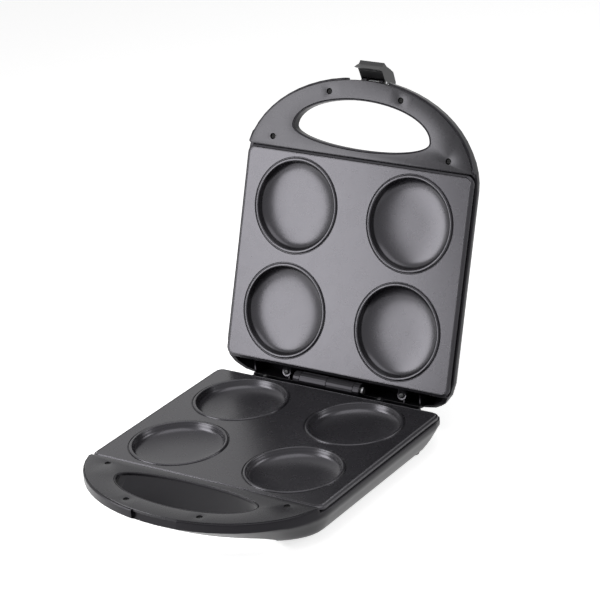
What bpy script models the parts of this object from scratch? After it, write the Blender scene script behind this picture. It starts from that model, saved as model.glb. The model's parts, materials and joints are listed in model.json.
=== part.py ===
"""A four-cup mini pizza and pancake maker, standing open, as separate pieces in metres.

Both halves are built in the same half frame: X across, Y towards the hinge, and Z as the
depth away from the plane of the cooking plate. The base is that frame turned over about Y,
and the lid is that frame set on the hinge and swung open.
"""
import math

import bmesh
import bpy
from mathutils import Vector

# Cooking plate
PLATE_HALF_WIDTH = 0.1453
PLATE_HALF_LENGTH = 0.1200
PLATE_CORNER_RADIUS = 0.0065
PLATE_EDGE_ROLL = 0.0042
PLATE_EDGE_DROP = 0.0018
PLATE_SKIRT_DEPTH = 0.0100
PLATE_THICKNESS = 0.0025
PLATE_OUTER_X = PLATE_HALF_WIDTH + PLATE_EDGE_ROLL
PLATE_OUTER_Y = PLATE_HALF_LENGTH + PLATE_EDGE_ROLL

# Cups in the plate: two rows of two, as large as the plate's length allows
CUP_EDGE_MARGIN = 0.0029
CUP_ROW_GAP = 0.0094
CUP_COLUMN_SPREAD = 0.0057
CUP_DEPTH = 0.0120
CUP_FILLET_RADIUS = 0.0110
CUP_WALL_DRAFT = 0.0012
BEAD_WIDTH = 0.0034
BEAD_HEIGHT = 0.0009
GROOVE_WIDTH = 0.0016
GROOVE_DEPTH = 0.0006
CUP_OUTER_RADIUS = (PLATE_HALF_LENGTH - CUP_EDGE_MARGIN - CUP_ROW_GAP / 2) / 2
CUP_MOUTH_RADIUS = CUP_OUTER_RADIUS - BEAD_WIDTH - GROOVE_WIDTH
CUP_PITCH_X = PLATE_HALF_WIDTH + CUP_COLUMN_SPREAD
CUP_PITCH_Y = 2 * CUP_OUTER_RADIUS + CUP_ROW_GAP

# Hinge
PLATE_GAP = 0.0030
HINGE_SETBACK = 0.0098
HINGE_SHIFT = 0.0038
OPEN_ANGLE = math.radians(109.0)
HINGE_RELIEF_ANGLE = math.radians(1.5)
BARREL_RADIUS = 0.0083
BARREL_LENGTH = 0.0352
KNUCKLE_LENGTH = 0.0078
HINGE_SIDE_GAP = 0.0006
HINGE_PIN_RADIUS = 0.0024
HINGE_PIN_HEAD_RADIUS = 0.0046
HINGE_PIN_HEAD_LENGTH = 0.0026
HINGE_WEB_DEPTH_SHARE = 0.63
HINGE_WEB_SETBACK = 0.0015
HINGE_Y = PLATE_OUTER_Y + HINGE_SETBACK

# Screw ears on the rear edge of the plate
EAR_WIDTH = 0.0110
EAR_REACH = 0.0118
EAR_THICKNESS = 0.0025
EAR_DEPTH = 0.0030
EAR_HOLE_INSET = 0.0050
EAR_HINGE_GAP = 0.0220
EAR_SPREAD = 0.0245
EAR_INNER_X = BARREL_LENGTH + KNUCKLE_LENGTH + EAR_HINGE_GAP
EAR_OUTER_X = EAR_INNER_X + EAR_SPREAD

# Housing moulding
HOUSING_SIDE_MARGIN = 0.0025
HOUSING_REAR_MARGIN = 0.0080
SHOULDER_SETBACK = 0.0020
HANDLE_LENGTH = 0.0888
HANDLE_BLEND_SETBACK = 0.0202
HOUSING_DEPTH = 0.0380
REAR_CORNER_RADIUS = 0.0355
REAR_CORNER_LENGTH = 0.0400
REAR_CORNER_SLOPE = math.radians(35.0)
SIDE_RIM_DEPTH = 0.0050
HANDLE_RIM_RISE = 0.0004
HOUSING_WALL = 0.0025
HOUSING_FLOOR = 0.0026
PLATE_LEDGE = 0.0030
SIDE_TAPER = 0.0190
FRONT_TAPER = 0.0470
REAR_TAPER = 0.0150
HANDLE_CURVE_POWER_SHARE = 2.0
HOUSING_HALF_WIDTH = PLATE_OUTER_X + HOUSING_SIDE_MARGIN
HOUSING_REAR_Y = HINGE_Y + HOUSING_REAR_MARGIN
SHOULDER_Y = PLATE_OUTER_Y + SHOULDER_SETBACK
HANDLE_REACH = SHOULDER_Y + HANDLE_LENGTH
HANDLE_BLEND_Y = SHOULDER_Y - HANDLE_BLEND_SETBACK

# Handle opening, wider at the outer face than at the trim
OPENING_SIDE_MARGIN = 0.0625
OPENING_REAR_SETBACK = 0.0083
HANDLE_GRIP_WIDTH = 0.0255
OPENING_CENTRE_SHARE = 0.3273
OPENING_SIDE_FLARE_SHARE = 0.62
OPENING_REAR_FLARE_SHARE = 0.16
TUNNEL_WALL = 0.0018
OPENING_HALF_WIDTH = HOUSING_HALF_WIDTH - OPENING_SIDE_MARGIN
OPENING_LENGTH = HANDLE_LENGTH - HANDLE_GRIP_WIDTH - OPENING_REAR_SETBACK
OPENING_REAR_REACH = OPENING_LENGTH * OPENING_CENTRE_SHARE
OPENING_FRONT_REACH = OPENING_LENGTH - OPENING_REAR_REACH
OPENING_CENTRE_Y = SHOULDER_Y + OPENING_REAR_SETBACK + OPENING_REAR_REACH

# Trim plate over the handle
TRIM_PROUD = 0.0012
TRIM_THICKNESS = 0.0030
TRIM_LIP = 0.0022
TRIM_OVERHANG = 0.0008
TRIM_EDGE_ROUND = 0.0006
TRIM_FRONT_SCREW_SHARE = 0.525
TRIM_FRONT_SCREW_INSET = 0.0195
TRIM_REAR_SCREW_INSET = 0.0360
TRIM_REAR_SCREW_SETBACK = 0.0098
TRIM_REAR_Y = SHOULDER_Y - TRIM_OVERHANG

# Screws and their bosses
SCREW_HEAD_RADIUS = 0.0028
SCREW_HEAD_HEIGHT = 0.0014
SCREW_SHANK_RADIUS = 0.0015
SCREW_LENGTH = 0.0110
SCREW_SINK = 0.0007
SCREW_SEAT_GAP = 0.0006
BOSS_RADIUS = 0.0040

# Latch on the front of the lid
LATCH_WIDTH = 0.0316
LATCH_HEIGHT = 0.0430
LATCH_THICKNESS = 0.0184
LATCH_WALL = 0.0022
LATCH_SWING = math.radians(35.0)
LATCH_SIDE_GAP = 0.0006
LATCH_PIVOT_INSET = 0.0025
LATCH_PIVOT_DEPTH = 0.0170
LATCH_PIN_RADIUS = 0.0014
LATCH_LUG_RADIUS = 0.0040
LATCH_LUG_WIDTH = 0.0045
LATCH_RECESS_WIDTH = 0.0570
LATCH_RECESS_INSET = 0.0065
LATCH_RECESS_DEPTH = 0.0140
LATCH_PIVOT_Y = HANDLE_REACH - LATCH_PIVOT_INSET

# Feet
FOOT_FRONT_INSET = 0.0400
FOOT_FRONT_SETBACK = 0.0102
FOOT_REAR_INSET = 0.0270
FOOT_REAR_SETBACK = 0.0440
FOOT_RADIUS = 0.0080
FOOT_STUB_RADIUS = 0.0092
FOOT_STUB_HEIGHT = 0.0018
FOOT_PAD_HEIGHT = 0.0026
FOOT_STEM_RADIUS = 0.0025
FOOT_STEM_LENGTH = 0.0040

# Heating parts under each plate
ELEMENT_RADIUS = 0.00325
ELEMENT_BEND_RADIUS = 0.0300
ELEMENT_TAIL_LENGTH = 0.0300
ELEMENT_TAIL_GAP = 0.0360
CLAMP_WIDTH = 0.0100
CLAMP_LENGTH = 0.0420
CLAMP_THICKNESS = 0.0012
PILLAR_RADIUS = 0.0035
PILLAR_OFFSET = 0.0150
RIVET_RADIUS = 0.0018
RIVET_PROUD = 0.0006
SHIELD_SIDE_GAP = 0.0103
SHIELD_END_GAP = 0.0080
SHIELD_THICKNESS = 0.0005
SHIELD_LIP_HEIGHT = 0.0050
SHIELD_CORNER_RADIUS = 0.0180
SHIELD_DROP = 0.0015
POST_RADIUS = 0.0040
POST_SIDE_INSET = 0.0170
POST_END_INSET = 0.0220
EAR_BOSS_DEPTH_SHARE = 0.71
RIB_THICKNESS = 0.0016
TROUGH_RIB_INSET = 0.0410
SHIELD_HALF_WIDTH = PLATE_HALF_WIDTH - SHIELD_SIDE_GAP
SHIELD_HALF_LENGTH = PLATE_HALF_LENGTH - SHIELD_END_GAP
THERMOSTAT_RADIUS = 0.0080
THERMOSTAT_HEIGHT = 0.0100
FUSE_RADIUS = 0.0020
FUSE_LENGTH = 0.0140
FUSE_X = 0.0180

# Electrical entry in the base
INLET_EAR_GAP = 0.0165
INLET_DEPTH_SHARE = 0.66
INLET_RADIUS = 0.0055
INLET_COLLAR_RADIUS = 0.0085
INLET_COLLAR_LENGTH = 0.0110
INLET_FLANGE_RADIUS = 0.0078
INLET_FLANGE_THICKNESS = 0.0022
INLET_BORE_RADIUS = 0.0034
TERMINAL_LENGTH = 0.0260
TERMINAL_WIDTH = 0.0110
TERMINAL_HEIGHT = 0.0080
TERMINAL_INLET_GAP = 0.0420
TERMINAL_SHIELD_GAP = 0.0006
TERMINAL_ENTRY_RADIUS = 0.0024
INLET_X = EAR_OUTER_X + INLET_EAR_GAP
INLET_DEPTH = HOUSING_DEPTH * INLET_DEPTH_SHARE

# Lamps in the lid
LENS_X = 0.0110
LENS_SETBACK = 0.0092
LENS_RADIUS = 0.0032
LENS_FLANGE_RADIUS = 0.0046
LENS_FLANGE_THICKNESS = 0.0016
LENS_PROUD = 0.0010
LAMP_RADIUS = 0.0026
LAMP_LENGTH = 0.0070

# Fits
CLEARANCE = 0.0003
CUT_OVERRUN = 0.0040

# Facets of round pieces
CUP_SIDES = 24
HANDLE_SIDES = 30
OPENING_SIDES = 32
CORNER_SIDES = 4
BARREL_STEPS = 12
SCREW_SIDES = 8
SMALL_SIDES = 12
TUBE_SIDES = 4

# Outer form of the housing: shares of its depth, side taper, front taper and rear taper
HOUSING_SECTION_SHARES = (
    (0.25, 0.00, 0.00, 0.00),
    (0.33, 0.02, 0.11, 0.01),
    (0.42, 0.13, 0.223, 0.06),
    (0.58, 0.29, 0.426, 0.16),
    (0.79, 0.51, 0.68, 0.37),
    (0.92, 0.68, 0.85, 0.62),
    (0.98, 0.84, 0.94, 0.82),
    (1.00, 1.00, 1.00, 1.00),
)

# Edge of the plate: shares of its roll outwards and of its drop
PLATE_EDGE_SHARES = (
    (0.00, 0.00),
    (0.22, 0.06),
    (0.34, 0.62),
    (0.92, 0.85),
    (1.00, 1.00),
)

# Outline of the latch when shut: shares of its thickness outwards and of its height upwards,
# both counted from its pivot
LATCH_OUTLINE_SHARES = (
    (0.05, -0.070),
    (-0.151, -0.414),
    (0.072, -0.603),
    (-0.227, -0.530),
    (-0.398, -0.474),
    (-0.659, -0.481),
    (-0.681, -0.318),
    (-0.830, -0.121),
    (-0.930, 0.062),
    (-0.792, 0.245),
    (-0.663, 0.397),
    (-0.533, 0.372),
    (-0.283, 0.140),
    (-0.050, 0.095),
    (0.130, 0.075),
    (0.215, 0.000),
    (0.180, -0.060),
)
LATCH_POCKET_TOP_SHARE = 0.30
LATCH_POCKET_BOTTOM_SHARE = -0.36

HINGE_DEPTH = -PLATE_GAP / 2
RIM_TOP = -HANDLE_RIM_RISE
LEDGE_DEPTH = PLATE_SKIRT_DEPTH + CLEARANCE
CAVITY_DEPTH = HOUSING_DEPTH - HOUSING_FLOOR
TRIM_SEAT = TRIM_THICKNESS - TRIM_PROUD + CLEARANCE
CUP_BASE_DEPTH = CUP_DEPTH + PLATE_THICKNESS
ELEMENT_DEPTH = CUP_BASE_DEPTH + CLEARANCE + ELEMENT_RADIUS
CLAMP_DEPTH = ELEMENT_DEPTH + ELEMENT_RADIUS + CLEARANCE
SHIELD_DEPTH = CLAMP_DEPTH + CLAMP_THICKNESS + RIVET_PROUD + SHIELD_DROP
HINGE_WEB_DEPTH = HOUSING_DEPTH * HINGE_WEB_DEPTH_SHARE
EAR_BOSS_END_DEPTH = HOUSING_DEPTH * EAR_BOSS_DEPTH_SHARE


def clear_scene():
    for old in list(bpy.data.objects):
        bpy.data.objects.remove(old, do_unlink=True)


def material(name, colour, roughness, metallic=0.0):
    found = bpy.data.materials.get(name)
    if found is None:
        found = bpy.data.materials.new(name)
        found.use_nodes = True
        shader = found.node_tree.nodes["Principled BSDF"]
        shader.inputs["Base Color"].default_value = (*colour, 1.0)
        shader.inputs["Roughness"].default_value = roughness
        shader.inputs["Metallic"].default_value = metallic
    return found


def housing_plastic():
    return material("housing_plastic", (0.012, 0.012, 0.013), 0.42)


def trim_plastic():
    return material("trim_plastic", (0.045, 0.045, 0.048), 0.36)


def plate_coating():
    return material("plate_coating", (0.075, 0.073, 0.078), 0.38, 0.35)


def latch_plastic():
    return material("latch_plastic", (0.022, 0.022, 0.023), 0.40)


def bright_steel():
    return material("bright_steel", (0.55, 0.55, 0.56), 0.30, 1.0)


def screw_steel():
    return material("screw_steel", (0.05, 0.05, 0.052), 0.35, 0.9)


def shield_steel():
    return material("shield_steel", (0.42, 0.42, 0.43), 0.45, 1.0)


def foot_rubber():
    return material("foot_rubber", (0.02, 0.02, 0.02), 0.85)


def ceramic_white():
    return material("ceramic_white", (0.80, 0.79, 0.75), 0.55)


def lens_red():
    return material("lens_red", (0.65, 0.02, 0.015), 0.12)


def lens_green():
    return material("lens_green", (0.02, 0.45, 0.06), 0.12)


def lamp_glass():
    return material("lamp_glass", (0.75, 0.70, 0.62), 0.08)


def empty(name, parent=None, location=(0.0, 0.0, 0.0), rotation=(0.0, 0.0, 0.0)):
    """A guide that carries pieces: it isn't a piece of the object."""
    guide = bpy.data.objects.new(name, None)
    bpy.context.collection.objects.link(guide)
    guide.location = location
    guide.rotation_euler = rotation
    guide.parent = parent
    return guide


def piece(name, shape, frame, finish, location=(0.0, 0.0, 0.0)):
    """One node: a closed body made from a bmesh, carried by its frame."""
    bmesh.ops.recalc_face_normals(shape, faces=shape.faces)
    mesh = bpy.data.meshes.new(name)
    shape.to_mesh(mesh)
    shape.free()
    mesh.shade_smooth()
    mesh.set_sharp_from_angle(angle=math.radians(35.0))
    mesh.materials.append(finish)
    body = bpy.data.objects.new(name, mesh)
    bpy.context.collection.objects.link(body)
    body.parent = frame
    body.location = location
    return body


def tool(name, shape, frame):
    """A cutter, or a form to be fused on: hidden, and not a node."""
    body = piece(name, shape, frame, housing_plastic())
    body.hide_render = True
    body.display_type = "WIRE"
    return body


def combine(body, other, operation):
    step = body.modifiers.new(other.name, "BOOLEAN")
    step.object = other
    step.operation = operation
    step.solver = "EXACT"
    return body


def cut(body, *others):
    for other in others:
        combine(body, other, "DIFFERENCE")
    return body


def fuse(body, *others):
    for other in others:
        combine(body, other, "UNION")
    return body


def add_ring(shape, points):
    return [shape.verts.new(point) for point in points]


def join_rings(shape, first, second):
    """Quads between two closed rings of the same count."""
    count = len(first)
    for index in range(count):
        following = (index + 1) % count
        shape.faces.new((first[index], first[following], second[following], second[index]))


def loft(rings):
    """A closed body through a list of rings, with a flat cap on each end."""
    shape = bmesh.new()
    loops = [add_ring(shape, ring) for ring in rings]
    for first, second in zip(loops, loops[1:]):
        join_rings(shape, first, second)
    shape.faces.new(loops[0])
    shape.faces.new(loops[-1])
    return shape


def circle(radius, sides, x, y, z):
    """A ring of points around Z."""
    steps = (2 * math.pi * index / sides for index in range(sides))
    return [Vector((x + radius * math.cos(turn), y + radius * math.sin(turn), z)) for turn in steps]


def turned(profile, sides, x=0.0, y=0.0):
    """A body turned about a vertical line, from (radius, depth) pairs in order of depth."""
    return loft([circle(radius, sides, x, y, depth) for radius, depth in profile])


def cylinder(radius, low, high, sides, x=0.0, y=0.0):
    return turned(((radius, low), (radius, high)), sides, x, y)


def lay_across(shape, x, y, z):
    """Turns a body that was made about Z so that it lies along X, and moves it."""
    for vert in shape.verts:
        vert.co = Vector((vert.co.z + x, vert.co.x + y, vert.co.y + z))
    return shape


def lay_along(shape, x, y, z):
    """Turns a body that was made about Z so that it lies along Y, and moves it."""
    for vert in shape.verts:
        vert.co = Vector((vert.co.x + x, vert.co.z + y, vert.co.y + z))
    return shape


def block(low, high):
    """A box from its lowest to its highest corner."""
    corners = ((low[0], low[1]), (high[0], low[1]), (high[0], high[1]), (low[0], high[1]))
    return loft([[Vector((x, y, z)) for x, y in corners] for z in (low[2], high[2])])


def side_outline(outline, low_x, high_x):
    """An outline of (y, z) points extruded along X."""
    return loft([[Vector((x, y, z)) for y, z in outline] for x in (low_x, high_x)])


def rounded_rectangle(half_x, half_y, radius, z, front=None):
    """A ring with four rounded corners. front is the front edge where it isn't -half_y."""
    front_y = -half_y if front is None else front
    centres = (
        (half_x - radius, half_y - radius, 0),
        (radius - half_x, half_y - radius, 1),
        (radius - half_x, front_y + radius, 2),
        (half_x - radius, front_y + radius, 3),
    )
    ring = []
    for centre_x, centre_y, quarter in centres:
        for index in range(CORNER_SIDES + 1):
            turn = (quarter + index / CORNER_SIDES) * math.pi / 2
            ring.append(Vector((centre_x + radius * math.cos(turn),
                                centre_y + radius * math.sin(turn), z)))
    return ring


def handle_curve(half_width, front, count):
    """Points of the rounded front, from the right side round to the left side."""
    power = 2 / HANDLE_CURVE_POWER_SHARE
    points = []
    for index in range(count + 1):
        turn = math.pi * index / count
        across = math.copysign(abs(math.cos(turn)) ** power, math.cos(turn))
        ahead = math.sin(turn) ** power if 0 < index < count else 0.0
        points.append((half_width * across, -HANDLE_BLEND_Y - (front - HANDLE_BLEND_Y) * ahead))
    return points


def housing_ring(half_width, front, rear, z):
    """The D outline of the housing: round handle in front, two corners at the rear."""
    ring = [Vector((x, y, z)) for x, y in handle_curve(half_width, front, HANDLE_SIDES)]
    radius = REAR_CORNER_RADIUS
    for side, quarter in ((-1, 2), (1, 1)):
        for index in range(CORNER_SIDES + 1):
            turn = (quarter - index / CORNER_SIDES) * math.pi / 2
            ring.append(Vector((side * (half_width - radius) + radius * math.cos(turn),
                                rear - radius + radius * math.sin(turn), z)))
    return ring


def housing_sections(inset_side, inset_front, inset_rear, floor):
    """Rings down the housing's outer form, drawn in by the given amounts."""
    rings = []
    for depth, side, front, rear in HOUSING_SECTION_SHARES:
        rings.append((HOUSING_HALF_WIDTH - SIDE_TAPER * side - inset_side,
                      HANDLE_REACH - FRONT_TAPER * front - inset_front,
                      HOUSING_REAR_Y - REAR_TAPER * rear - inset_rear,
                      (HOUSING_DEPTH - floor) * depth))
    return rings


def inner_sections(inset_side, inset_front, inset_rear):
    """Fewer rings, for the hollow inside, which ends above the housing's floor."""
    sections = housing_sections(inset_side, inset_front, inset_rear, HOUSING_FLOOR)
    return sections[:5:2] + sections[-1:]


def opening_ring(grow, z):
    """The outline of the handle opening, made wider all round by grow."""
    below_trim = max(z - TRIM_SEAT, 0.0)
    half_width = OPENING_HALF_WIDTH + grow + below_trim * OPENING_SIDE_FLARE_SHARE
    rear_reach = OPENING_REAR_REACH + grow + below_trim * OPENING_REAR_FLARE_SHARE
    ring = []
    for index in range(OPENING_SIDES):
        turn = 2 * math.pi * index / OPENING_SIDES
        reach = rear_reach if math.sin(turn) > 0 else OPENING_FRONT_REACH + grow
        ring.append(Vector((half_width * math.cos(turn), -OPENING_CENTRE_Y + reach * math.sin(turn), z)))
    return ring


def opening_tool(grow):
    """The handle opening from above the trim to below the housing, as one body."""
    return loft([opening_ring(grow, depth)
                 for depth in (-CUT_OVERRUN, TRIM_SEAT, HOUSING_DEPTH + CUT_OVERRUN)])


def trim_outline(inset, z, rear):
    """The D outline of the handle trim: the handle curve cut off straight at its rear."""
    half_width = HOUSING_HALF_WIDTH - inset
    front = HANDLE_REACH - inset
    inside = [(x, y) for x, y in handle_curve(half_width, front, HANDLE_SIDES) if y < -rear]
    share = (rear - HANDLE_BLEND_Y) / (front - HANDLE_BLEND_Y)
    corner = half_width * (1 - share ** HANDLE_CURVE_POWER_SHARE) ** (1 / HANDLE_CURVE_POWER_SHARE)
    points = [(corner, -rear)] + inside + [(-corner, -rear)]
    return [Vector((x, y, z)) for x, y in points]


def cup_centres():
    return [(side * CUP_PITCH_X / 2, row * CUP_PITCH_Y / 2) for row in (-1, 1) for side in (-1, 1)]


def trim_screw_places():
    rear = (HOUSING_HALF_WIDTH - TRIM_REAR_SCREW_INSET, SHOULDER_Y + TRIM_REAR_SCREW_SETBACK)
    front = (OPENING_HALF_WIDTH * TRIM_FRONT_SCREW_SHARE, HANDLE_REACH - TRIM_FRONT_SCREW_INSET)
    return [(side * x, -y) for x, y in (rear, front) for side in (-1, 1)]


def ear_places():
    """The plate's two screw ears: they sit at unlike distances from the middle."""
    rear = PLATE_OUTER_Y + EAR_REACH - EAR_HOLE_INSET
    return [(-EAR_INNER_X, rear), (EAR_OUTER_X, rear)]


def pillar_places():
    return [(0.0, row * CUP_PITCH_Y / 2 + side * PILLAR_OFFSET) for row in (-1, 1) for side in (-1, 1)]


def cup_top_profile():
    """Radius and depth from the groove round a cup, over its bead and down to its floor."""
    mouth = CUP_MOUTH_RADIUS
    bead = mouth + BEAD_WIDTH
    wall_foot = mouth - CUP_WALL_DRAFT
    profile = [(bead + GROOVE_WIDTH, 0.0), (bead + GROOVE_WIDTH / 2, GROOVE_DEPTH), (bead, 0.0),
               (bead - BEAD_WIDTH / 4, -BEAD_HEIGHT), (mouth + BEAD_WIDTH / 4, -BEAD_HEIGHT),
               (mouth, BEAD_HEIGHT / 2)]
    for index in range(3):
        turn = index * math.pi / 4
        profile.append((wall_foot - CUP_FILLET_RADIUS * (1 - math.cos(turn)),
                        CUP_DEPTH - CUP_FILLET_RADIUS * (1 - math.sin(turn))))
    return profile


def cup_under_profile():
    """Radius and depth of the outside of a cup, below the plate."""
    wall_foot = CUP_MOUTH_RADIUS - CUP_WALL_DRAFT + PLATE_THICKNESS
    outer_fillet = CUP_FILLET_RADIUS + PLATE_THICKNESS
    profile = [(CUP_MOUTH_RADIUS + PLATE_THICKNESS, PLATE_THICKNESS)]
    for index in (1, 2):
        turn = index * math.pi / 4
        profile.append((wall_foot - outer_fillet * (1 - math.cos(turn)),
                        CUP_BASE_DEPTH - outer_fillet * (1 - math.sin(turn))))
    return profile


def add_cup(shape, profile, centre):
    """One side of a cup: rings down its profile, closed by its flat floor."""
    rings = [add_ring(shape, circle(radius, CUP_SIDES, *centre, depth)) for radius, depth in profile]
    for first, second in zip(rings, rings[1:]):
        join_rings(shape, first, second)
    shape.faces.new(rings[-1])
    return rings[0]


def ring_edges(shape, ring):
    return [shape.edges.get((ring[index - 1], ring[index])) for index in range(len(ring))]


def fill_flat(shape, loops):
    """A flat face bounded by the first loop, with the other loops as holes."""
    edges = [edge for loop in loops for edge in ring_edges(shape, loop)]
    bmesh.ops.triangle_fill(shape, use_beauty=True, use_dissolve=False, edges=edges)


def plate_body():
    """The cast plate: rolled edge and skirt, four cups with beads, hollow below."""
    roll = PLATE_EDGE_ROLL
    radius = PLATE_CORNER_RADIUS
    inner = roll - PLATE_THICKNESS
    steps = [(roll * out, PLATE_EDGE_DROP * down) for out, down in PLATE_EDGE_SHARES]
    steps += [(roll, PLATE_SKIRT_DEPTH), (inner, PLATE_SKIRT_DEPTH), (inner, PLATE_THICKNESS)]
    shape = bmesh.new()
    rings = []
    for grow, depth in steps:
        ring = rounded_rectangle(PLATE_HALF_WIDTH + grow, PLATE_HALF_LENGTH + grow, radius + grow, depth)
        rings.append(add_ring(shape, ring))
    for first, second in zip(rings, rings[1:]):
        join_rings(shape, first, second)
    tops = [add_cup(shape, cup_top_profile(), centre) for centre in cup_centres()]
    unders = [add_cup(shape, cup_under_profile(), centre) for centre in cup_centres()]
    fill_flat(shape, [rings[0]] + tops)
    fill_flat(shape, [rings[-1]] + unders)
    return shape


def ear_form(x):
    """A screw ear with a round end."""
    radius = EAR_WIDTH / 2
    centre = PLATE_OUTER_Y + EAR_REACH - radius
    start = PLATE_OUTER_Y - PLATE_THICKNESS / 2
    outline = [(x - radius, start), (x + radius, start)]
    for index in range(CORNER_SIDES + 1):
        turn = math.pi * index / CORNER_SIDES
        outline.append((x + radius * math.cos(turn), centre + radius * math.sin(turn)))
    return loft([[Vector((px, py, z)) for px, py in outline]
                 for z in (EAR_DEPTH, EAR_DEPTH + EAR_THICKNESS)])


def build_plate(name, frame):
    plate = piece(name, plate_body(), frame, plate_coating())
    for index, (x, y) in enumerate(ear_places()):
        fuse(plate, tool(f"{name}_ear_{index}", ear_form(x), frame))
        hole = cylinder(SCREW_SHANK_RADIUS + CLEARANCE, EAR_DEPTH - CUT_OVERRUN,
                        EAR_DEPTH + EAR_THICKNESS + CUT_OVERRUN, SCREW_SIDES, x, y)
        cut(plate, tool(f"{name}_ear_hole_{index}", hole, frame))
    for index, (x, y) in enumerate(pillar_places()):
        profile = ((PILLAR_RADIUS, PLATE_THICKNESS / 2), (PILLAR_RADIUS, CLAMP_DEPTH - CLEARANCE),
                   (RIVET_RADIUS, CLAMP_DEPTH - CLEARANCE),
                   (RIVET_RADIUS, CLAMP_DEPTH + CLAMP_THICKNESS + RIVET_PROUD))
        fuse(plate, tool(f"{name}_pillar_{index}", turned(profile, SCREW_SIDES, x, y), frame))
    return plate


def build_element(name, frame):
    """A bent heating tube that runs under all four cups, with both ends at the rear."""
    half_x = CUP_PITCH_X / 2
    half_y = CUP_PITCH_Y / 2
    bend = ELEMENT_BEND_RADIUS
    tail = ELEMENT_TAIL_GAP / 2
    points = [(tail, half_y + ELEMENT_TAIL_LENGTH)]
    turns = (((tail + bend / 2, half_y + bend / 2), bend / 2, 2, 1),
             ((half_x - bend, half_y - bend), bend, 1, -1),
             ((half_x - bend, bend - half_y), bend, 0, -1))
    for (x, y), radius, quarter, way in turns:
        for index in range(5):
            turn = (quarter + way * index / 4) * math.pi / 2
            points.append((x + radius * math.cos(turn), y + radius * math.sin(turn)))
    points += [(-x, y) for x, y in reversed(points)]
    curve = bpy.data.curves.new(name, "CURVE")
    curve.dimensions = "3D"
    curve.bevel_depth = ELEMENT_RADIUS
    curve.bevel_resolution = TUBE_SIDES // 2
    curve.use_fill_caps = True
    spline = curve.splines.new("POLY")
    spline.points.add(len(points) - 1)
    for spot, (x, y) in zip(spline.points, points):
        spot.co = (x, y, ELEMENT_DEPTH, 1.0)
    curve.materials.append(bright_steel())
    body = bpy.data.objects.new(name, curve)
    bpy.context.collection.objects.link(body)
    body.parent = frame
    return body


def build_clamp(name, frame, row):
    """A strap across the heating tube, riveted on two pillars of the plate."""
    y = row * CUP_PITCH_Y / 2
    low = (-CLAMP_WIDTH / 2, y - CLAMP_LENGTH / 2, CLAMP_DEPTH)
    high = (CLAMP_WIDTH / 2, y + CLAMP_LENGTH / 2, CLAMP_DEPTH + CLAMP_THICKNESS)
    clamp = piece(name, block(low, high), frame, shield_steel())
    for side in (-1, 1):
        hole = cylinder(RIVET_RADIUS + CLEARANCE, CLAMP_DEPTH - CUT_OVERRUN,
                        CLAMP_DEPTH + CLAMP_THICKNESS + CUT_OVERRUN, SCREW_SIDES,
                        0.0, y + side * PILLAR_OFFSET)
        cut(clamp, tool(f"{name}_hole_{side}", hole, frame))
    return clamp


def build_shield(name, frame):
    """A shallow sheet tray between the heating tube and the plastic floor."""
    inner = SHIELD_THICKNESS
    top = SHIELD_DEPTH - SHIELD_LIP_HEIGHT
    bottom = SHIELD_DEPTH + SHIELD_THICKNESS
    steps = ((0.0, top), (0.0, bottom), (inner, top), (inner, SHIELD_DEPTH))
    rings = []
    shape = bmesh.new()
    for inset, depth in steps:
        ring = rounded_rectangle(SHIELD_HALF_WIDTH - inset, SHIELD_HALF_LENGTH - inset,
                                 SHIELD_CORNER_RADIUS - inset, depth)
        rings.append(add_ring(shape, ring))
    outer_top, outer_bottom, inner_top, inner_floor = rings
    join_rings(shape, outer_top, outer_bottom)
    join_rings(shape, outer_top, inner_top)
    join_rings(shape, inner_top, inner_floor)
    shape.faces.new(outer_bottom)
    shape.faces.new(inner_floor)
    return piece(name, shape, frame, shield_steel())


def build_thermostat(name, frame):
    """A snap disc thermostat that sits against the middle of the plate."""
    top = PLATE_THICKNESS + CLEARANCE
    radius = THERMOSTAT_RADIUS
    profile = ((radius, top), (radius, top + THERMOSTAT_HEIGHT * 0.45),
               (radius * 0.8, top + THERMOSTAT_HEIGHT * 0.5), (radius * 0.8, top + THERMOSTAT_HEIGHT))
    body = piece(name, turned(profile, SMALL_SIDES), frame, ceramic_white())
    for side in (-1, 1):
        x = side * radius / 2
        low = (x - radius / 20, -radius / 4, top + THERMOSTAT_HEIGHT * 0.9)
        high = (x + radius / 20, radius / 4, top + THERMOSTAT_HEIGHT * 1.5)
        fuse(body, tool(f"{name}_tab_{side}", block(low, high), frame))
    return body


def build_fuse(name, frame):
    """A thermal fuse that lies along X against the plate, beside the thermostat."""
    profile = ((FUSE_RADIUS * 0.4, 0.0), (FUSE_RADIUS * 0.4, FUSE_LENGTH * 0.2),
               (FUSE_RADIUS, FUSE_LENGTH * 0.25), (FUSE_RADIUS, FUSE_LENGTH * 0.75),
               (FUSE_RADIUS * 0.4, FUSE_LENGTH * 0.8), (FUSE_RADIUS * 0.4, FUSE_LENGTH))
    shape = lay_across(turned(profile, SMALL_SIDES // 2), FUSE_X, 0.0,
                       PLATE_THICKNESS + CLEARANCE + FUSE_RADIUS)
    return piece(name, shape, frame, shield_steel())


def screw_body(x, y, head_top):
    """A screw with a low domed head. head_top is the depth of the top of its head."""
    seat = head_top + SCREW_HEAD_HEIGHT
    profile = ((SCREW_HEAD_RADIUS * 0.55, head_top), (SCREW_HEAD_RADIUS, head_top + SCREW_HEAD_HEIGHT * 0.5),
               (SCREW_HEAD_RADIUS, seat), (SCREW_SHANK_RADIUS, seat),
               (SCREW_SHANK_RADIUS, seat + SCREW_LENGTH * 0.9),
               (SCREW_SHANK_RADIUS * 0.3, seat + SCREW_LENGTH))
    return turned(profile, SCREW_SIDES, x, y)


def build_trim_screws(prefix, frame):
    for index, (x, y) in enumerate(trim_screw_places(), 1):
        piece(f"{prefix}_trim_screw_{index}", screw_body(x, y, SCREW_SINK - TRIM_PROUD), frame, screw_steel())


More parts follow.
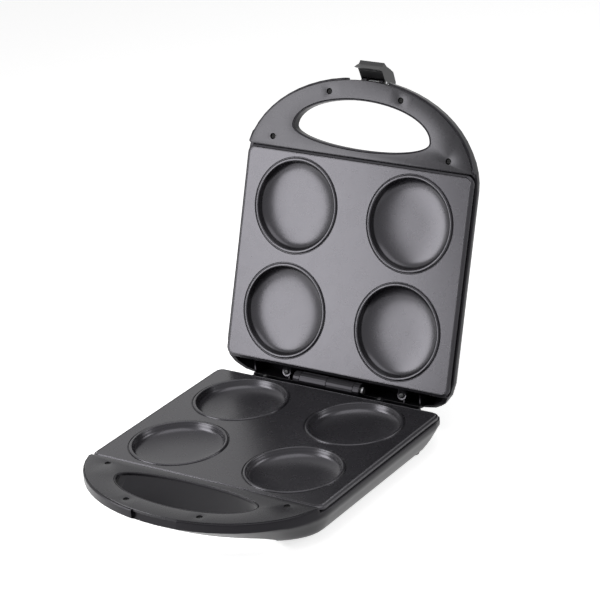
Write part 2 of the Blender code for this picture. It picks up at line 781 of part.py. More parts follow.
def build_plate_screws(prefix, frame):
    head_top = EAR_DEPTH - CLEARANCE - SCREW_HEAD_HEIGHT
    for index, (x, y) in enumerate(ear_places(), 1):
        piece(f"{prefix}_plate_screw_{index}", screw_body(x, y, head_top), frame, screw_steel())


def build_trim(name, frame):
    """The flat cover of the handle, with its opening and sunk screw holes."""
    top = -TRIM_PROUD
    bottom = TRIM_THICKNESS - TRIM_PROUD
    inset = TRIM_LIP + CLEARANCE
    steps = ((TRIM_EDGE_ROUND, top), (0.0, top + TRIM_EDGE_ROUND), (0.0, bottom))
    rings = [trim_outline(inset + extra, depth, TRIM_REAR_Y + extra) for extra, depth in steps]
    trim = piece(name, loft(rings), frame, trim_plastic())
    cut(trim, tool(f"{name}_opening", opening_tool(TUNNEL_WALL), frame))
    seat = SCREW_SINK - TRIM_PROUD + SCREW_HEAD_HEIGHT + CLEARANCE
    for index, (x, y) in enumerate(trim_screw_places()):
        wide = SCREW_HEAD_RADIUS + SCREW_SEAT_GAP
        narrow = SCREW_SHANK_RADIUS + CLEARANCE
        profile = ((wide, top - CUT_OVERRUN), (wide, seat), (narrow, seat), (narrow, bottom + CUT_OVERRUN))
        cut(trim, tool(f"{name}_hole_{index}", turned(profile, SCREW_SIDES, x, y), frame))
    return trim


def outer_form():
    sections = housing_sections(0.0, 0.0, 0.0, 0.0)
    half_width, front, rear, _ = sections[0]
    return loft([housing_ring(half_width, front, rear, RIM_TOP)]
                + [housing_ring(*section) for section in sections])


def plate_cavity():
    """The room under the plate: it opens upwards and ends at a wall behind the handle."""
    front = PLATE_LEDGE - PLATE_OUTER_Y
    rings = []
    sections = inner_sections(HOUSING_WALL + PLATE_LEDGE / 2, 0.0, HOUSING_WALL)
    first = sections[0]
    for half_width, _, rear, depth in [(first[0], first[1], first[2], RIM_TOP - CUT_OVERRUN)] + sections:
        width = min(half_width, PLATE_OUTER_X - PLATE_LEDGE)
        rings.append(rounded_rectangle(width, rear, REAR_CORNER_RADIUS - HOUSING_WALL, depth, front))
    return loft(rings)


def plate_pocket():
    """The shallow pocket that the skirt of the plate drops into."""
    half_x = PLATE_OUTER_X + CLEARANCE
    half_y = PLATE_OUTER_Y + CLEARANCE
    radius = PLATE_CORNER_RADIUS + PLATE_EDGE_ROLL
    return loft([rounded_rectangle(half_x, half_y, radius, depth)
                 for depth in (RIM_TOP - CUT_OVERRUN, LEDGE_DEPTH)])


def handle_cavity(name, frame):
    """The room inside the handle, left clear of the tunnel, the bosses and the latch recess."""
    sections = inner_sections(HOUSING_WALL, HOUSING_WALL, 0.0)
    half_width, front, rear, _ = sections[0]
    rings = [housing_ring(half_width, front, rear, 0.0)] + [housing_ring(*section) for section in sections]
    body = tool(name, loft(rings), frame)
    side = HOUSING_HALF_WIDTH + CUT_OVERRUN
    behind = block((-side, -SHOULDER_Y - HOUSING_WALL, -CUT_OVERRUN),
                   (side, HOUSING_REAR_Y + CUT_OVERRUN, HOUSING_DEPTH + CUT_OVERRUN))
    cut(body, tool(f"{name}_behind", behind, frame))
    cut(body, tool(f"{name}_tunnel", opening_tool(TUNNEL_WALL), frame))
    half = LATCH_RECESS_WIDTH / 2 + HOUSING_WALL
    low = (-half, -HANDLE_REACH - CUT_OVERRUN, -CUT_OVERRUN)
    high = (half, LATCH_RECESS_INSET + HOUSING_WALL - HANDLE_REACH, LATCH_RECESS_DEPTH + HOUSING_WALL)
    cut(body, tool(f"{name}_recess", block(low, high), frame))
    for index, (x, y) in enumerate(trim_screw_places()):
        boss = cylinder(BOSS_RADIUS, -CUT_OVERRUN, HOUSING_DEPTH + CUT_OVERRUN, SMALL_SIDES, x, y)
        cut(body, tool(f"{name}_boss_{index}", boss, frame))
    return body


def relief_depth(y):
    """How deep the rear wall has to end, so that the two walls pass each other as the lid opens."""
    return HINGE_DEPTH + (y - HINGE_Y) * math.tan(OPEN_ANGLE / 2 + HINGE_RELIEF_ANGLE)


def rear_relief():
    """A wedge from the hinge axis, cut off the rear wall."""
    end = HOUSING_REAR_Y + CUT_OVERRUN
    top = HINGE_DEPTH - CUT_OVERRUN
    outline = ((HINGE_Y, HINGE_DEPTH), (end, relief_depth(end)), (end, top), (HINGE_Y, top))
    side = HOUSING_HALF_WIDTH + CUT_OVERRUN
    return side_outline(outline, -side, side)


def corner_relief(side):
    """What is cut off the walls round a rear corner, down to a slope that starts at the plate."""
    end = HOUSING_REAR_Y + CUT_OVERRUN
    bottom = SIDE_RIM_DEPTH + (end - PLATE_OUTER_Y) * math.tan(REAR_CORNER_SLOPE)
    outline = ((PLATE_OUTER_Y, SIDE_RIM_DEPTH), (end, bottom),
               (end, -CUT_OVERRUN), (PLATE_OUTER_Y, -CUT_OVERRUN))
    edges = (side * (HOUSING_HALF_WIDTH - REAR_CORNER_LENGTH), side * (HOUSING_HALF_WIDTH + CUT_OVERRUN))
    return side_outline(outline, *sorted(edges))


def rear_rib(x, front, top, bottom):
    """A rib inside the rear wall, from its upper edge down to the given depth."""
    wall = [(rear - HOUSING_WALL / 2, depth) for _, _, rear, depth in housing_sections(0.0, 0.0, 0.0, 0.0)]
    back = [(y, depth) for y, depth in wall if relief_depth(y) < depth < bottom]
    outline = [(front, top)] + back + [(front, bottom)]
    return side_outline(outline, x - RIB_THICKNESS / 2, x + RIB_THICKNESS / 2)


def hinge_spans(shift):
    """The stretches of the axis that one half holds: a long barrel and a short knuckle."""
    long_barrel = (shift - HINGE_SIDE_GAP / 2 - BARREL_LENGTH, shift - HINGE_SIDE_GAP / 2)
    knuckle_start = shift + BARREL_LENGTH + HINGE_SIDE_GAP * 3 / 2
    return (long_barrel, (knuckle_start, knuckle_start + KNUCKLE_LENGTH))


def hinge_outline():
    """Outline of a barrel with the web that carries it on the inside of the rear wall."""
    slope = OPEN_ANGLE / 2 + HINGE_RELIEF_ANGLE
    radius = BARREL_RADIUS
    outline = []
    for index in range(BARREL_STEPS + 1):
        turn = math.pi + (math.pi + slope) * index / BARREL_STEPS
        outline.append((HINGE_Y + radius * math.cos(turn), HINGE_DEPTH + radius * math.sin(turn)))
    wall_y = HOUSING_REAR_Y - HOUSING_WALL + CLEARANCE
    wall_top = relief_depth(wall_y) + HINGE_WEB_SETBACK
    return outline + [(wall_y, wall_top), (wall_y, HINGE_WEB_DEPTH * 0.8),
                      (HINGE_Y - radius / 2, HINGE_WEB_DEPTH)]


def add_hinge(housing, name, frame, shift):
    for index, span in enumerate(hinge_spans(shift)):
        fuse(housing, tool(f"{name}_barrel_{index}", side_outline(hinge_outline(), *span), frame))
    span = BARREL_LENGTH + KNUCKLE_LENGTH + CUT_OVERRUN
    bore = lay_across(cylinder(HINGE_PIN_RADIUS + CLEARANCE, -span, span, SMALL_SIDES), shift, HINGE_Y,
                      HINGE_DEPTH)
    cut(housing, tool(f"{name}_bore", bore, frame))


def add_posts(housing, name, frame):
    """Posts under the heat shield, ribs behind the plate, and bosses under its two ears."""
    floor = CAVITY_DEPTH + HOUSING_FLOOR / 2
    top = SHIELD_DEPTH + SHIELD_THICKNESS + CLEARANCE
    post_x = SHIELD_HALF_WIDTH - POST_SIDE_INSET
    post_y = SHIELD_HALF_LENGTH - POST_END_INSET
    rib_x = HOUSING_HALF_WIDTH - TROUGH_RIB_INSET
    for side in (-1, 1):
        for row in (-1, 1):
            post = cylinder(POST_RADIUS, top, floor, SMALL_SIDES, side * post_x, row * post_y)
            fuse(housing, tool(f"{name}_post_{side}_{row}", post, frame))
        rib = rear_rib(side * rib_x, SHOULDER_Y, SIDE_RIM_DEPTH, floor)
        fuse(housing, tool(f"{name}_trough_rib_{side}", rib, frame))
    seat = EAR_DEPTH + EAR_THICKNESS + CLEARANCE
    for index, (x, y) in enumerate(ear_places()):
        rib = rear_rib(x, y, LEDGE_DEPTH, EAR_BOSS_END_DEPTH - RIB_THICKNESS)
        boss = cylinder(BOSS_RADIUS, seat, EAR_BOSS_END_DEPTH, SMALL_SIDES, x, y)
        fuse(housing,
             tool(f"{name}_ear_rib_{index}", rib, frame),
             tool(f"{name}_ear_boss_{index}", boss, frame))
        bottom = EAR_DEPTH + SCREW_LENGTH + CLEARANCE
        hole = cylinder(SCREW_SHANK_RADIUS + CLEARANCE, -CUT_OVERRUN, bottom, SCREW_SIDES, x, y)
        cut(housing, tool(f"{name}_ear_hole_{index}", hole, frame))


def add_trim_seats(housing, name, frame):
    """The pocket of the trim, the tunnel of the handle and the holes of the bosses."""
    rear = TRIM_REAR_Y - CUT_OVERRUN
    rings = [trim_outline(TRIM_LIP, depth, rear) for depth in (-2 * CUT_OVERRUN, TRIM_SEAT)]
    pocket = tool(f"{name}_trim_pocket", loft(rings), frame)
    cut(pocket, tool(f"{name}_opening_rim", opening_tool(TUNNEL_WALL - CLEARANCE), frame))
    cut(housing, pocket, tool(f"{name}_tunnel", opening_tool(0.0), frame))
    bottom = SCREW_HEAD_HEIGHT + SCREW_LENGTH + CLEARANCE
    for index, (x, y) in enumerate(trim_screw_places()):
        hole = cylinder(SCREW_SHANK_RADIUS + CLEARANCE, -CUT_OVERRUN, bottom, SCREW_SIDES, x, y)
        cut(housing, tool(f"{name}_trim_hole_{index}", hole, frame))


def build_housing(name, frame, shift):
    """The deep moulding that is used twice: once as the base and once as the lid."""
    housing = piece(name, outer_form(), frame, housing_plastic())
    side = HOUSING_HALF_WIDTH + CUT_OVERRUN
    shoulder = block((-side, -SHOULDER_Y, -CUT_OVERRUN), (side, HOUSING_REAR_Y + CUT_OVERRUN, SIDE_RIM_DEPTH))
    recess_side = LATCH_RECESS_WIDTH / 2
    recess = block((-recess_side, -HANDLE_REACH - CUT_OVERRUN, -CUT_OVERRUN),
                   (recess_side, LATCH_RECESS_INSET - HANDLE_REACH, LATCH_RECESS_DEPTH))
    cut(housing,
        tool(f"{name}_cavity", plate_cavity(), frame),
        tool(f"{name}_pocket", plate_pocket(), frame),
        tool(f"{name}_shoulder", shoulder, frame),
        handle_cavity(f"{name}_handle_cavity", frame))
    add_trim_seats(housing, name, frame)
    cut(housing,
        tool(f"{name}_latch_recess", recess, frame),
        tool(f"{name}_rear_relief", rear_relief(), frame),
        tool(f"{name}_left_corner_relief", corner_relief(-1), frame),
        tool(f"{name}_right_corner_relief", corner_relief(1), frame))
    add_hinge(housing, name, frame, shift)
    add_posts(housing, name, frame)
    return housing


def add_feet(housing, frame):
    """Moulded stubs under the base, each with a rubber foot pushed into it."""
    front = (HOUSING_HALF_WIDTH - FOOT_FRONT_INSET, FOOT_FRONT_SETBACK - SHOULDER_Y)
    rear = (HOUSING_HALF_WIDTH - FOOT_REAR_INSET, HOUSING_REAR_Y - FOOT_REAR_SETBACK)
    spots = [("front_left", 1, front), ("front_right", -1, front),
             ("rear_left", 1, rear), ("rear_right", -1, rear)]
    stub_end = HOUSING_DEPTH + FOOT_STUB_HEIGHT
    for place, side, (x, y) in spots:
        centre = (side * x, y)
        stub = turned(((FOOT_STUB_RADIUS, CAVITY_DEPTH - HOUSING_FLOOR), (FOOT_STUB_RADIUS, HOUSING_DEPTH),
                       (FOOT_RADIUS, stub_end)), SMALL_SIDES, *centre)
        hole = cylinder(FOOT_STEM_RADIUS + CLEARANCE, stub_end - FOOT_STEM_LENGTH,
                        stub_end + CUT_OVERRUN, SCREW_SIDES, *centre)
        fuse(housing, tool(f"stub_{place}", stub, frame))
        cut(housing, tool(f"stub_hole_{place}", hole, frame))
        pad = stub_end + CLEARANCE
        end = pad + FOOT_PAD_HEIGHT
        profile = ((FOOT_STEM_RADIUS, stub_end - FOOT_STEM_LENGTH + CLEARANCE), (FOOT_STEM_RADIUS, pad),
                   (FOOT_RADIUS, pad), (FOOT_RADIUS, end - FOOT_PAD_HEIGHT / 4),
                   (FOOT_RADIUS - FOOT_PAD_HEIGHT / 4, end))
        piece(f"foot_{place}", turned(profile, SMALL_SIDES, *centre), frame, foot_rubber())


def add_inlet(housing, frame):
    """The cord inlet: a collar through the rear wall, with its rubber bush."""
    rear = HOUSING_REAR_Y
    length = INLET_COLLAR_LENGTH
    collar = cylinder(INLET_COLLAR_RADIUS, rear - length, rear, SMALL_SIDES)
    hole = cylinder(INLET_RADIUS + CLEARANCE, rear - length - CUT_OVERRUN, rear + CUT_OVERRUN, SMALL_SIDES)
    fuse(housing, tool("inlet_collar", lay_along(collar, INLET_X, 0.0, INLET_DEPTH), frame))
    cut(housing, tool("inlet_hole", lay_along(hole, INLET_X, 0.0, INLET_DEPTH), frame))
    flange = rear + CLEARANCE
    profile = ((INLET_RADIUS, rear - length), (INLET_RADIUS, flange), (INLET_FLANGE_RADIUS, flange),
               (INLET_FLANGE_RADIUS, flange + INLET_FLANGE_THICKNESS / 2),
               (INLET_FLANGE_RADIUS - INLET_FLANGE_THICKNESS / 2, flange + INLET_FLANGE_THICKNESS))
    bush = piece("cord_inlet_bush", lay_along(turned(profile, SMALL_SIDES), INLET_X, 0.0, INLET_DEPTH),
                 frame, foot_rubber())
    bore = cylinder(INLET_BORE_RADIUS, rear - length - CUT_OVERRUN,
                    flange + INLET_FLANGE_THICKNESS + CUT_OVERRUN, SCREW_SIDES)
    cut(bush, tool("bush_bore", lay_along(bore, INLET_X, 0.0, INLET_DEPTH), frame))


def build_terminals(frame):
    """The terminal block that joins the cord to the wiring, on the floor of the base."""
    bottom = CAVITY_DEPTH - CLEARANCE
    middle = INLET_X - TERMINAL_INLET_GAP
    start = SHIELD_HALF_LENGTH + TERMINAL_SHIELD_GAP
    low = (middle - TERMINAL_LENGTH / 2, start, bottom - TERMINAL_HEIGHT)
    high = (middle + TERMINAL_LENGTH / 2, start + TERMINAL_WIDTH, bottom)
    body = piece("terminal_block", block(low, high), frame, ceramic_white())
    for index in (-1, 0, 1):
        hole = cylinder(TERMINAL_ENTRY_RADIUS, low[1] - CUT_OVERRUN, high[1] + CUT_OVERRUN, SCREW_SIDES)
        x = middle + index * TERMINAL_LENGTH / 3
        entry = lay_along(hole, x, 0.0, bottom - TERMINAL_HEIGHT / 2)
        cut(body, tool(f"terminal_hole_{index}", entry, frame))


def build_lamps(housing, frame):
    """Two lamp lenses in the outer face of the lid, each with its lamp behind it."""
    for kind, side, finish in (("power", -1, lens_red()), ("ready", 1, lens_green())):
        x = side * LENS_X
        y = LENS_SETBACK - PLATE_OUTER_Y
        hole = cylinder(LENS_RADIUS + CLEARANCE, CAVITY_DEPTH - CUT_OVERRUN,
                        HOUSING_DEPTH + CUT_OVERRUN, SMALL_SIDES, x, y)
        cut(housing, tool(f"{kind}_lens_hole", hole, frame))
        seat = CAVITY_DEPTH - CLEARANCE
        back = seat - LENS_FLANGE_THICKNESS
        top = HOUSING_DEPTH + LENS_PROUD
        profile = ((LENS_FLANGE_RADIUS, back), (LENS_FLANGE_RADIUS, seat), (LENS_RADIUS, seat),
                   (LENS_RADIUS, HOUSING_DEPTH), (LENS_RADIUS * 0.75, HOUSING_DEPTH + LENS_PROUD * 0.7),
                   (LENS_RADIUS * 0.35, top))
        piece(f"{kind}_lamp_lens", turned(profile, SMALL_SIDES, x, y), frame, finish)
        front = back - CLEARANCE
        lamp = ((LAMP_RADIUS * 0.6, front - LAMP_LENGTH), (LAMP_RADIUS, front - LAMP_LENGTH * 0.8),
                (LAMP_RADIUS, front - LAMP_LENGTH * 0.15), (LAMP_RADIUS * 0.5, front))
        piece(f"{kind}_lamp", turned(lamp, SCREW_SIDES, x, y), frame, lamp_glass())


def build_hinge_pin(frame):
    span = BARREL_LENGTH + KNUCKLE_LENGTH + HINGE_SIDE_GAP * 3 / 2 + CLEARANCE
    end = span + HINGE_PIN_HEAD_LENGTH
    radius = HINGE_PIN_RADIUS
    head = HINGE_PIN_HEAD_RADIUS
    profile = ((head * 0.8, -end), (head, HINGE_PIN_HEAD_LENGTH * 0.4 - end), (head, -span), (radius, -span),
               (radius, span), (head, span), (head, end - HINGE_PIN_HEAD_LENGTH * 0.4), (head * 0.8, end))
    shape = lay_across(turned(profile, SMALL_SIDES), HINGE_SHIFT, HINGE_Y, HINGE_DEPTH)
    return piece("hinge_pin", shape, frame, bright_steel())


def add_latch_lugs(housing, frame):
    """Two lugs on the front of the lid, between the cheeks of the latch, that hold its pin."""
    radius = LATCH_LUG_RADIUS
    outline = []
    for index in range(9):
        turn = math.radians(115.0 + 20.0 * index)
        outline.append((-LATCH_PIVOT_Y + radius * math.cos(turn),
                        LATCH_PIVOT_DEPTH + radius * math.sin(turn)))
    outline += [(-LATCH_PIVOT_Y + radius, LATCH_PIVOT_DEPTH - radius * 2.4),
                (-LATCH_PIVOT_Y + radius * 4.2, LATCH_PIVOT_DEPTH + radius * 0.2)]
    start = LATCH_WIDTH / 2 - LATCH_WALL - LATCH_SIDE_GAP - LATCH_LUG_WIDTH
    pin = lay_across(cylinder(LATCH_PIN_RADIUS + CLEARANCE, -LATCH_WIDTH, LATCH_WIDTH, SCREW_SIDES), 0.0,
                     -LATCH_PIVOT_Y, LATCH_PIVOT_DEPTH)
    for side in (-1, 1):
        edges = sorted((side * start, side * (start + LATCH_LUG_WIDTH)))
        fuse(housing, tool(f"latch_lug_{side}", side_outline(outline, *edges), frame))
    cut(housing, tool("latch_lug_bore", pin, frame))


def build_latch(frame):
    """The snap latch: a hollow lever with a hook below its pivot and a finger end above it."""
    pivot = empty("latch_axis", frame, (0.0, -LATCH_PIVOT_Y, LATCH_PIVOT_DEPTH), (-LATCH_SWING, 0.0, 0.0))
    outline = [(out * LATCH_THICKNESS, up * LATCH_HEIGHT) for out, up in LATCH_OUTLINE_SHARES]
    half = LATCH_WIDTH / 2
    latch = piece("latch", side_outline(outline, -half, half), pivot, latch_plastic())
    wall = LATCH_WALL
    top = LATCH_POCKET_TOP_SHARE * LATCH_HEIGHT
    bottom = LATCH_POCKET_BOTTOM_SHARE * LATCH_HEIGHT
    outer = min(out for out, _ in outline)
    pocket = ((LATCH_THICKNESS, bottom), (outer * 0.68 + wall, bottom), (outer * 0.84 + wall, -wall * 2),
              (outer + wall, wall), (outer * 0.8 + wall, top), (LATCH_THICKNESS, top))
    cut(latch, tool("latch_pocket", side_outline(pocket, wall - half, half - wall), pivot))
    bore = lay_across(cylinder(LATCH_PIN_RADIUS + CLEARANCE, -LATCH_WIDTH, LATCH_WIDTH, SCREW_SIDES),
                      0.0, 0.0, 0.0)
    cut(latch, tool("latch_bore", bore, pivot))
    pin = lay_across(cylinder(LATCH_PIN_RADIUS, -half, half, SCREW_SIDES), 0.0, -LATCH_PIVOT_Y,
                     LATCH_PIVOT_DEPTH)
    piece("latch_pin", pin, frame, bright_steel())


def build_heating(prefix, frame):
    build_plate(f"{prefix}_plate", frame)
    build_element(f"{prefix}_heating_element", frame)
    build_clamp(f"{prefix}_element_clamp_front", frame, -1)
    build_clamp(f"{prefix}_element_clamp_rear", frame, 1)
    build_shield(f"{prefix}_heat_shield", frame)
    build_thermostat(f"{prefix}_thermostat", frame)
    build_plate_screws(prefix, frame)


def build_base(root):
    frame = empty("base_frame", root, rotation=(0.0, math.pi, 0.0))
    housing = build_housing("base_housing", frame, HINGE_SHIFT)
    add_feet(housing, frame)
    add_inlet(housing, frame)
    build_trim("base_handle_trim", frame)
    build_trim_screws("base", frame)
    build_heating("lower", frame)
    build_fuse("thermal_fuse", frame)
    build_terminals(frame)
    build_hinge_pin(frame)


def build_lid(root):
    axis = empty("lid_axis", root, (0.0, HINGE_Y, PLATE_GAP / 2), (-OPEN_ANGLE, 0.0, 0.0))
    frame = empty("lid_frame", axis, (0.0, -HINGE_Y, PLATE_GAP / 2))
    housing = build_housing("lid_housing", frame, -HINGE_SHIFT)
    add_latch_lugs(housing, frame)
    build_trim("lid_handle_trim", frame)
    build_trim_screws("lid", frame)
    build_heating("upper", frame)
    build_lamps(housing, frame)
    build_latch(frame)


def set_on_origin(root):
    """Moves the whole part so that its box stands centred on the origin."""
    bpy.context.view_layer.update()
    graph = bpy.context.evaluated_depsgraph_get()
    corners = []
    for body in bpy.data.objects:
        if body.type in {"MESH", "CURVE"} and not body.hide_render:
            shown = body.evaluated_get(graph)
            mesh = shown.to_mesh()
            corners += [shown.matrix_world @ vert.co for vert in mesh.vertices]
            shown.to_mesh_clear()
    low_y = min(corner.y for corner in corners)
    high_y = max(corner.y for corner in corners)
    root.location = (0.0, -(low_y + high_y) / 2, -min(corner.z for corner in corners))


def main():
    clear_scene()
    root = empty("part_origin")
    build_base(root)
    build_lid(root)
    set_on_origin(root)


main()
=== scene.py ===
"""The looks of the open four-cup maker: fine shapes, finishes, light and camera.

Lengths are in metres. The fine shapes are drawn in the half frame: X across, Y towards the
hinge and Z as the depth away from the plane of a cooking plate. The base is that frame turned
over about Y, and the lid is that frame set on the hinge and swung open.
"""
import json
import math

import bmesh
import bpy
from mathutils import Matrix, Quaternion, Vector


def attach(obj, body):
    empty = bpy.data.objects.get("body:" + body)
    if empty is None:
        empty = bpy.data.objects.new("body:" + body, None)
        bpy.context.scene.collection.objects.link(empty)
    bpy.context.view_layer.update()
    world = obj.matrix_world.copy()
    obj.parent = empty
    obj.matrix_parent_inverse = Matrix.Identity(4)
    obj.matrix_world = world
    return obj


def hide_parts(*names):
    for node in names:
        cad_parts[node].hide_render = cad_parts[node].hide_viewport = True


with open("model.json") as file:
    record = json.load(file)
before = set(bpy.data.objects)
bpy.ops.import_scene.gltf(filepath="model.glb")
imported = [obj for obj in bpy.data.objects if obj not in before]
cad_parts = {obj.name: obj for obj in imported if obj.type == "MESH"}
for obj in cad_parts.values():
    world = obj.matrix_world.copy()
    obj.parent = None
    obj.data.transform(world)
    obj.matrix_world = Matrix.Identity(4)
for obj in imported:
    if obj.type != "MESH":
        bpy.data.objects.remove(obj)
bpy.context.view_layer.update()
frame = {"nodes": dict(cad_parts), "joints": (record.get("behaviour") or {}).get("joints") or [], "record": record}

# Sizes that the fine shapes share with the construction
PLATE_HALF_WIDTH = 0.1453
PLATE_HALF_LENGTH = 0.1200
PLATE_CORNER_RADIUS = 0.0065
PLATE_EDGE_ROLL = 0.0042
PLATE_EDGE_DROP = 0.0018
PLATE_SKIRT_DEPTH = 0.0100
PLATE_THICKNESS = 0.0025
CUP_PITCH_X = 0.1510
CUP_PITCH_Y = 0.1218
CUP_MOUTH_RADIUS = 0.0512
CUP_DEPTH = 0.0120
CUP_FILLET_RADIUS = 0.0110
CUP_WALL_DRAFT = 0.0012
BEAD_WIDTH = 0.0034
GROOVE_WIDTH = 0.0016
EAR_WIDTH = 0.0110
EAR_REACH = 0.0118
EAR_THICKNESS = 0.0025
EAR_DEPTH = 0.0030
EAR_INNER_X = 0.0650
EAR_OUTER_X = 0.0895
EAR_HOLE_INSET = 0.0050
HOUSING_HALF_WIDTH = 0.1520
HANDLE_REACH = 0.2150
HANDLE_BLEND_Y = 0.1060
OPENING_HALF_WIDTH = 0.0895
OPENING_CENTRE_Y = 0.1525
OPENING_FRONT_REACH = 0.0370
OPENING_REAR_REACH = 0.0180
TUNNEL_WALL = 0.0018
TRIM_PROUD = 0.0012
TRIM_THICKNESS = 0.0030
TRIM_LIP = 0.0022
TRIM_REAR_Y = 0.1254
TRIM_SCREWS = ((0.1160, 0.1360), (0.0470, 0.1955))
SCREW_HEAD_RADIUS = 0.0028
SCREW_HEAD_HEIGHT = 0.0014
SCREW_SHANK_RADIUS = 0.0015
SCREW_LENGTH = 0.0110
SCREW_SINK = 0.0007
SCREW_SEAT_GAP = 0.0006
PLATE_GAP = 0.0030
HINGE_Y = 0.1340
LATCH_WIDTH = 0.0316
LATCH_HEIGHT = 0.0430
LATCH_THICKNESS = 0.0184
LATCH_WALL = 0.0022
LATCH_SWING = math.radians(35.0)
LATCH_PIVOT_Y = 0.2125
LATCH_PIVOT_DEPTH = 0.0170
OPEN_ANGLE = math.radians(109.0)
CLEARANCE = 0.0003
OVERRUN = 0.0040

# Cups: the curve of the dish, the bead and groove round it, and the two points of its lip, as
# shares of the bead's height
CUP_CURVE_POWER = 3.0
BEAD_HEIGHT = 0.0010
GROOVE_DEPTH = 0.0012
CUP_LIP_SHARES = (0.4, 1.6)

# Collar of a handle opening, with a bead on the flat rim of the tunnel
COLLAR_DEPTH = 0.0095
COLLAR_SHORT_DEPTH = 0.0021
COLLAR_RIM = -0.0005
COLLAR_PROUD = 0.0002
COLLAR_THICKNESS = 0.0012
COLLAR_BEAD_WIDTH = 0.0017
COLLAR_BEAD_HEIGHT = 0.0005

# Screws: shares of the head's radius or height, or of the shank's length
HEAD_FLAT_SHARE = 0.12
HEAD_DOME_SHARE = 0.7
SHANK_SHARE = 0.9
TIP_SHARE = 0.3
CROSS_ARM_SHARE = 0.62
CROSS_HALF_SHARE = 0.13
CROSS_DEPTH_SHARE = 0.75

# Fineness of the round shapes
CUP_SIDES = 96
CUP_STEPS = 22
HANDLE_SIDES = 96
OPENING_SIDES = 96
CORNER_SIDES = 10
SCREW_SIDES = 32
BEAD_STEPS = 8
ARC_STEPS = 6
TRIM_ROUND_STEPS = 4
UNDER_STEPS = 4
EAR_STEPS = 16
RIM_SEGMENTS = 4

# Rounding of edges
TRIM_ROUND = 0.0007
OPENING_ROUND = 0.0005
PLATE_ROUND = 0.0004
SHADED_ROUND = 0.0003
RIM_ROUND = 0.0017

# Edges that bend by more than this, in degrees, stay sharp
SHARP_ANGLE = 32.0
ROUNDED_SHARP_ANGLE = 50.0
MOULDED_SHARP_ANGLE = 17.0

# Mouldings: faces that bend by less than this, in degrees, are merged
MERGE_ANGLE = 0.02

# The rim of a moulding: its face looks up, its wall is steep, and it lies out on the outline
RIM_FACE_SLOPE = -0.95
RIM_WALL_SLOPE = 0.25
OUTLINE_SHARE = 0.99

# Edge of the plate: a fine raised lip, a step down and an outer band that slopes evenly. The
# shares are those of the roll outwards and of the drop
PLATE_LIP_WIDTH = 0.0011
PLATE_LIP_HEIGHT = 0.0003
PLATE_EDGE_SHARES = ((0.34, 0.50), (1.00, 1.00))

# Section of the latch's face panel: shares of its thickness and height, counted from its pivot
LATCH_PANEL_SHARES = ((0.003, -0.150), (-0.125, -0.372), (-0.225, -0.372), (-0.085, -0.150))

HINGE_POINT = Vector(frame["joints"][0]["pos_m"])
ORIGIN = HINGE_POINT - Vector((0.0, HINGE_Y, PLATE_GAP / 2))
BASE_FRAME = Matrix.Translation(ORIGIN) @ Matrix.Rotation(math.pi, 4, "Y")
LID_FRAME = (Matrix.Translation(HINGE_POINT) @ Matrix.Rotation(-OPEN_ANGLE, 4, "X")
             @ Matrix.Translation((0.0, -HINGE_Y, PLATE_GAP / 2)))

# World: its level for every ray, and what is added for the rays that show the background, where
# 1 is white. Floor: the glow added for the same rays, its colour and half its side
WORLD_LEVEL = 0.12
WORLD_GLOW = 0.88
FLOOR_GLOW = 0.74
FLOOR_COLOUR = 0.80
FLOOR_HALF_SIZE = 6.0

# Softboxes: name, place, target, size, watts and lean about the line of sight
SOFTBOXES = (
    ("left_softbox", (-0.503, -0.466, 0.400), (-0.07, 0.15, 0.22), (0.37, 0.72), 6.4,
     math.radians(27.0)),
    ("top_softbox", (0.2, -0.2, 1.9), (0.0, 0.0, 0.0), (1.6, 1.6), 15.0, 0.0),
    ("rear_softbox", (1.6, 0.9, 0.8), (0.0, 0.1, 0.15), (0.9, 0.9), 12.0, 0.0),
)

# Camera, with the photo's angle and its slight roll
CAMERA_PLACE = Vector((1.44962, -2.01319, 1.19317))
CAMERA_AZIMUTH = math.radians(34.658)
CAMERA_ELEVATION = math.radians(22.718)
CAMERA_ROLL = math.radians(-4.400)
CAMERA_LENS = 150.46
CAMERA_SENSOR = 36.0


def add_ring(shape, points):
    return [shape.verts.new(point) for point in points]


def join_rings(shape, first, second):
    count = len(first)
    for index in range(count):
        following = (index + 1) % count
        shape.faces.new((first[index], first[following], second[following], second[index]))


def loft(rings):
    """A closed body through a list of rings, with a flat cap on each end."""
    shape = bmesh.new()
    loops = [add_ring(shape, ring) for ring in rings]
    for first, second in zip(loops, loops[1:]):
        join_rings(shape, first, second)
    shape.faces.new(loops[0])
    shape.faces.new(loops[-1])
    return shape


def circle(radius, sides, x, y, z):
    steps = (2 * math.pi * index / sides for index in range(sides))
    return [Vector((x + radius * math.cos(turn), y + radius * math.sin(turn), z)) for turn in steps]


def turned(profile, sides, x=0.0, y=0.0):
    return loft([circle(radius, sides, x, y, depth) for radius, depth in profile])


def block(low, high):
    corners = ((low[0], low[1]), (high[0], low[1]), (high[0], high[1]), (low[0], high[1]))
    return loft([[Vector((x, y, z)) for x, y in corners] for z in (low[2], high[2])])


def ring_edges(shape, ring):
    return [shape.edges.get((ring[index - 1], ring[index])) for index in range(len(ring))]


def fill_flat(shape, loops):
    """A flat face bounded by the first loop, with the other loops as holes."""
    edges = [edge for loop in loops for edge in ring_edges(shape, loop)]
    bmesh.ops.triangle_fill(shape, use_beauty=True, use_dissolve=False, edges=edges)


def mesh_object(name, shape, matrix, finish, sharp=SHARP_ANGLE):
    """An object made from a bmesh in the half frame, smooth but for its sharp edges."""
    bmesh.ops.recalc_face_normals(shape, faces=shape.faces)
    mesh = bpy.data.meshes.new(name)
    shape.to_mesh(mesh)
    shape.free()
    mesh.transform(matrix)
    mesh.shade_smooth()
    mesh.set_sharp_from_angle(angle=math.radians(sharp))
    mesh.materials.append(finish)
    body = bpy.data.objects.new(name, mesh)
    bpy.context.collection.objects.link(body)
    return body


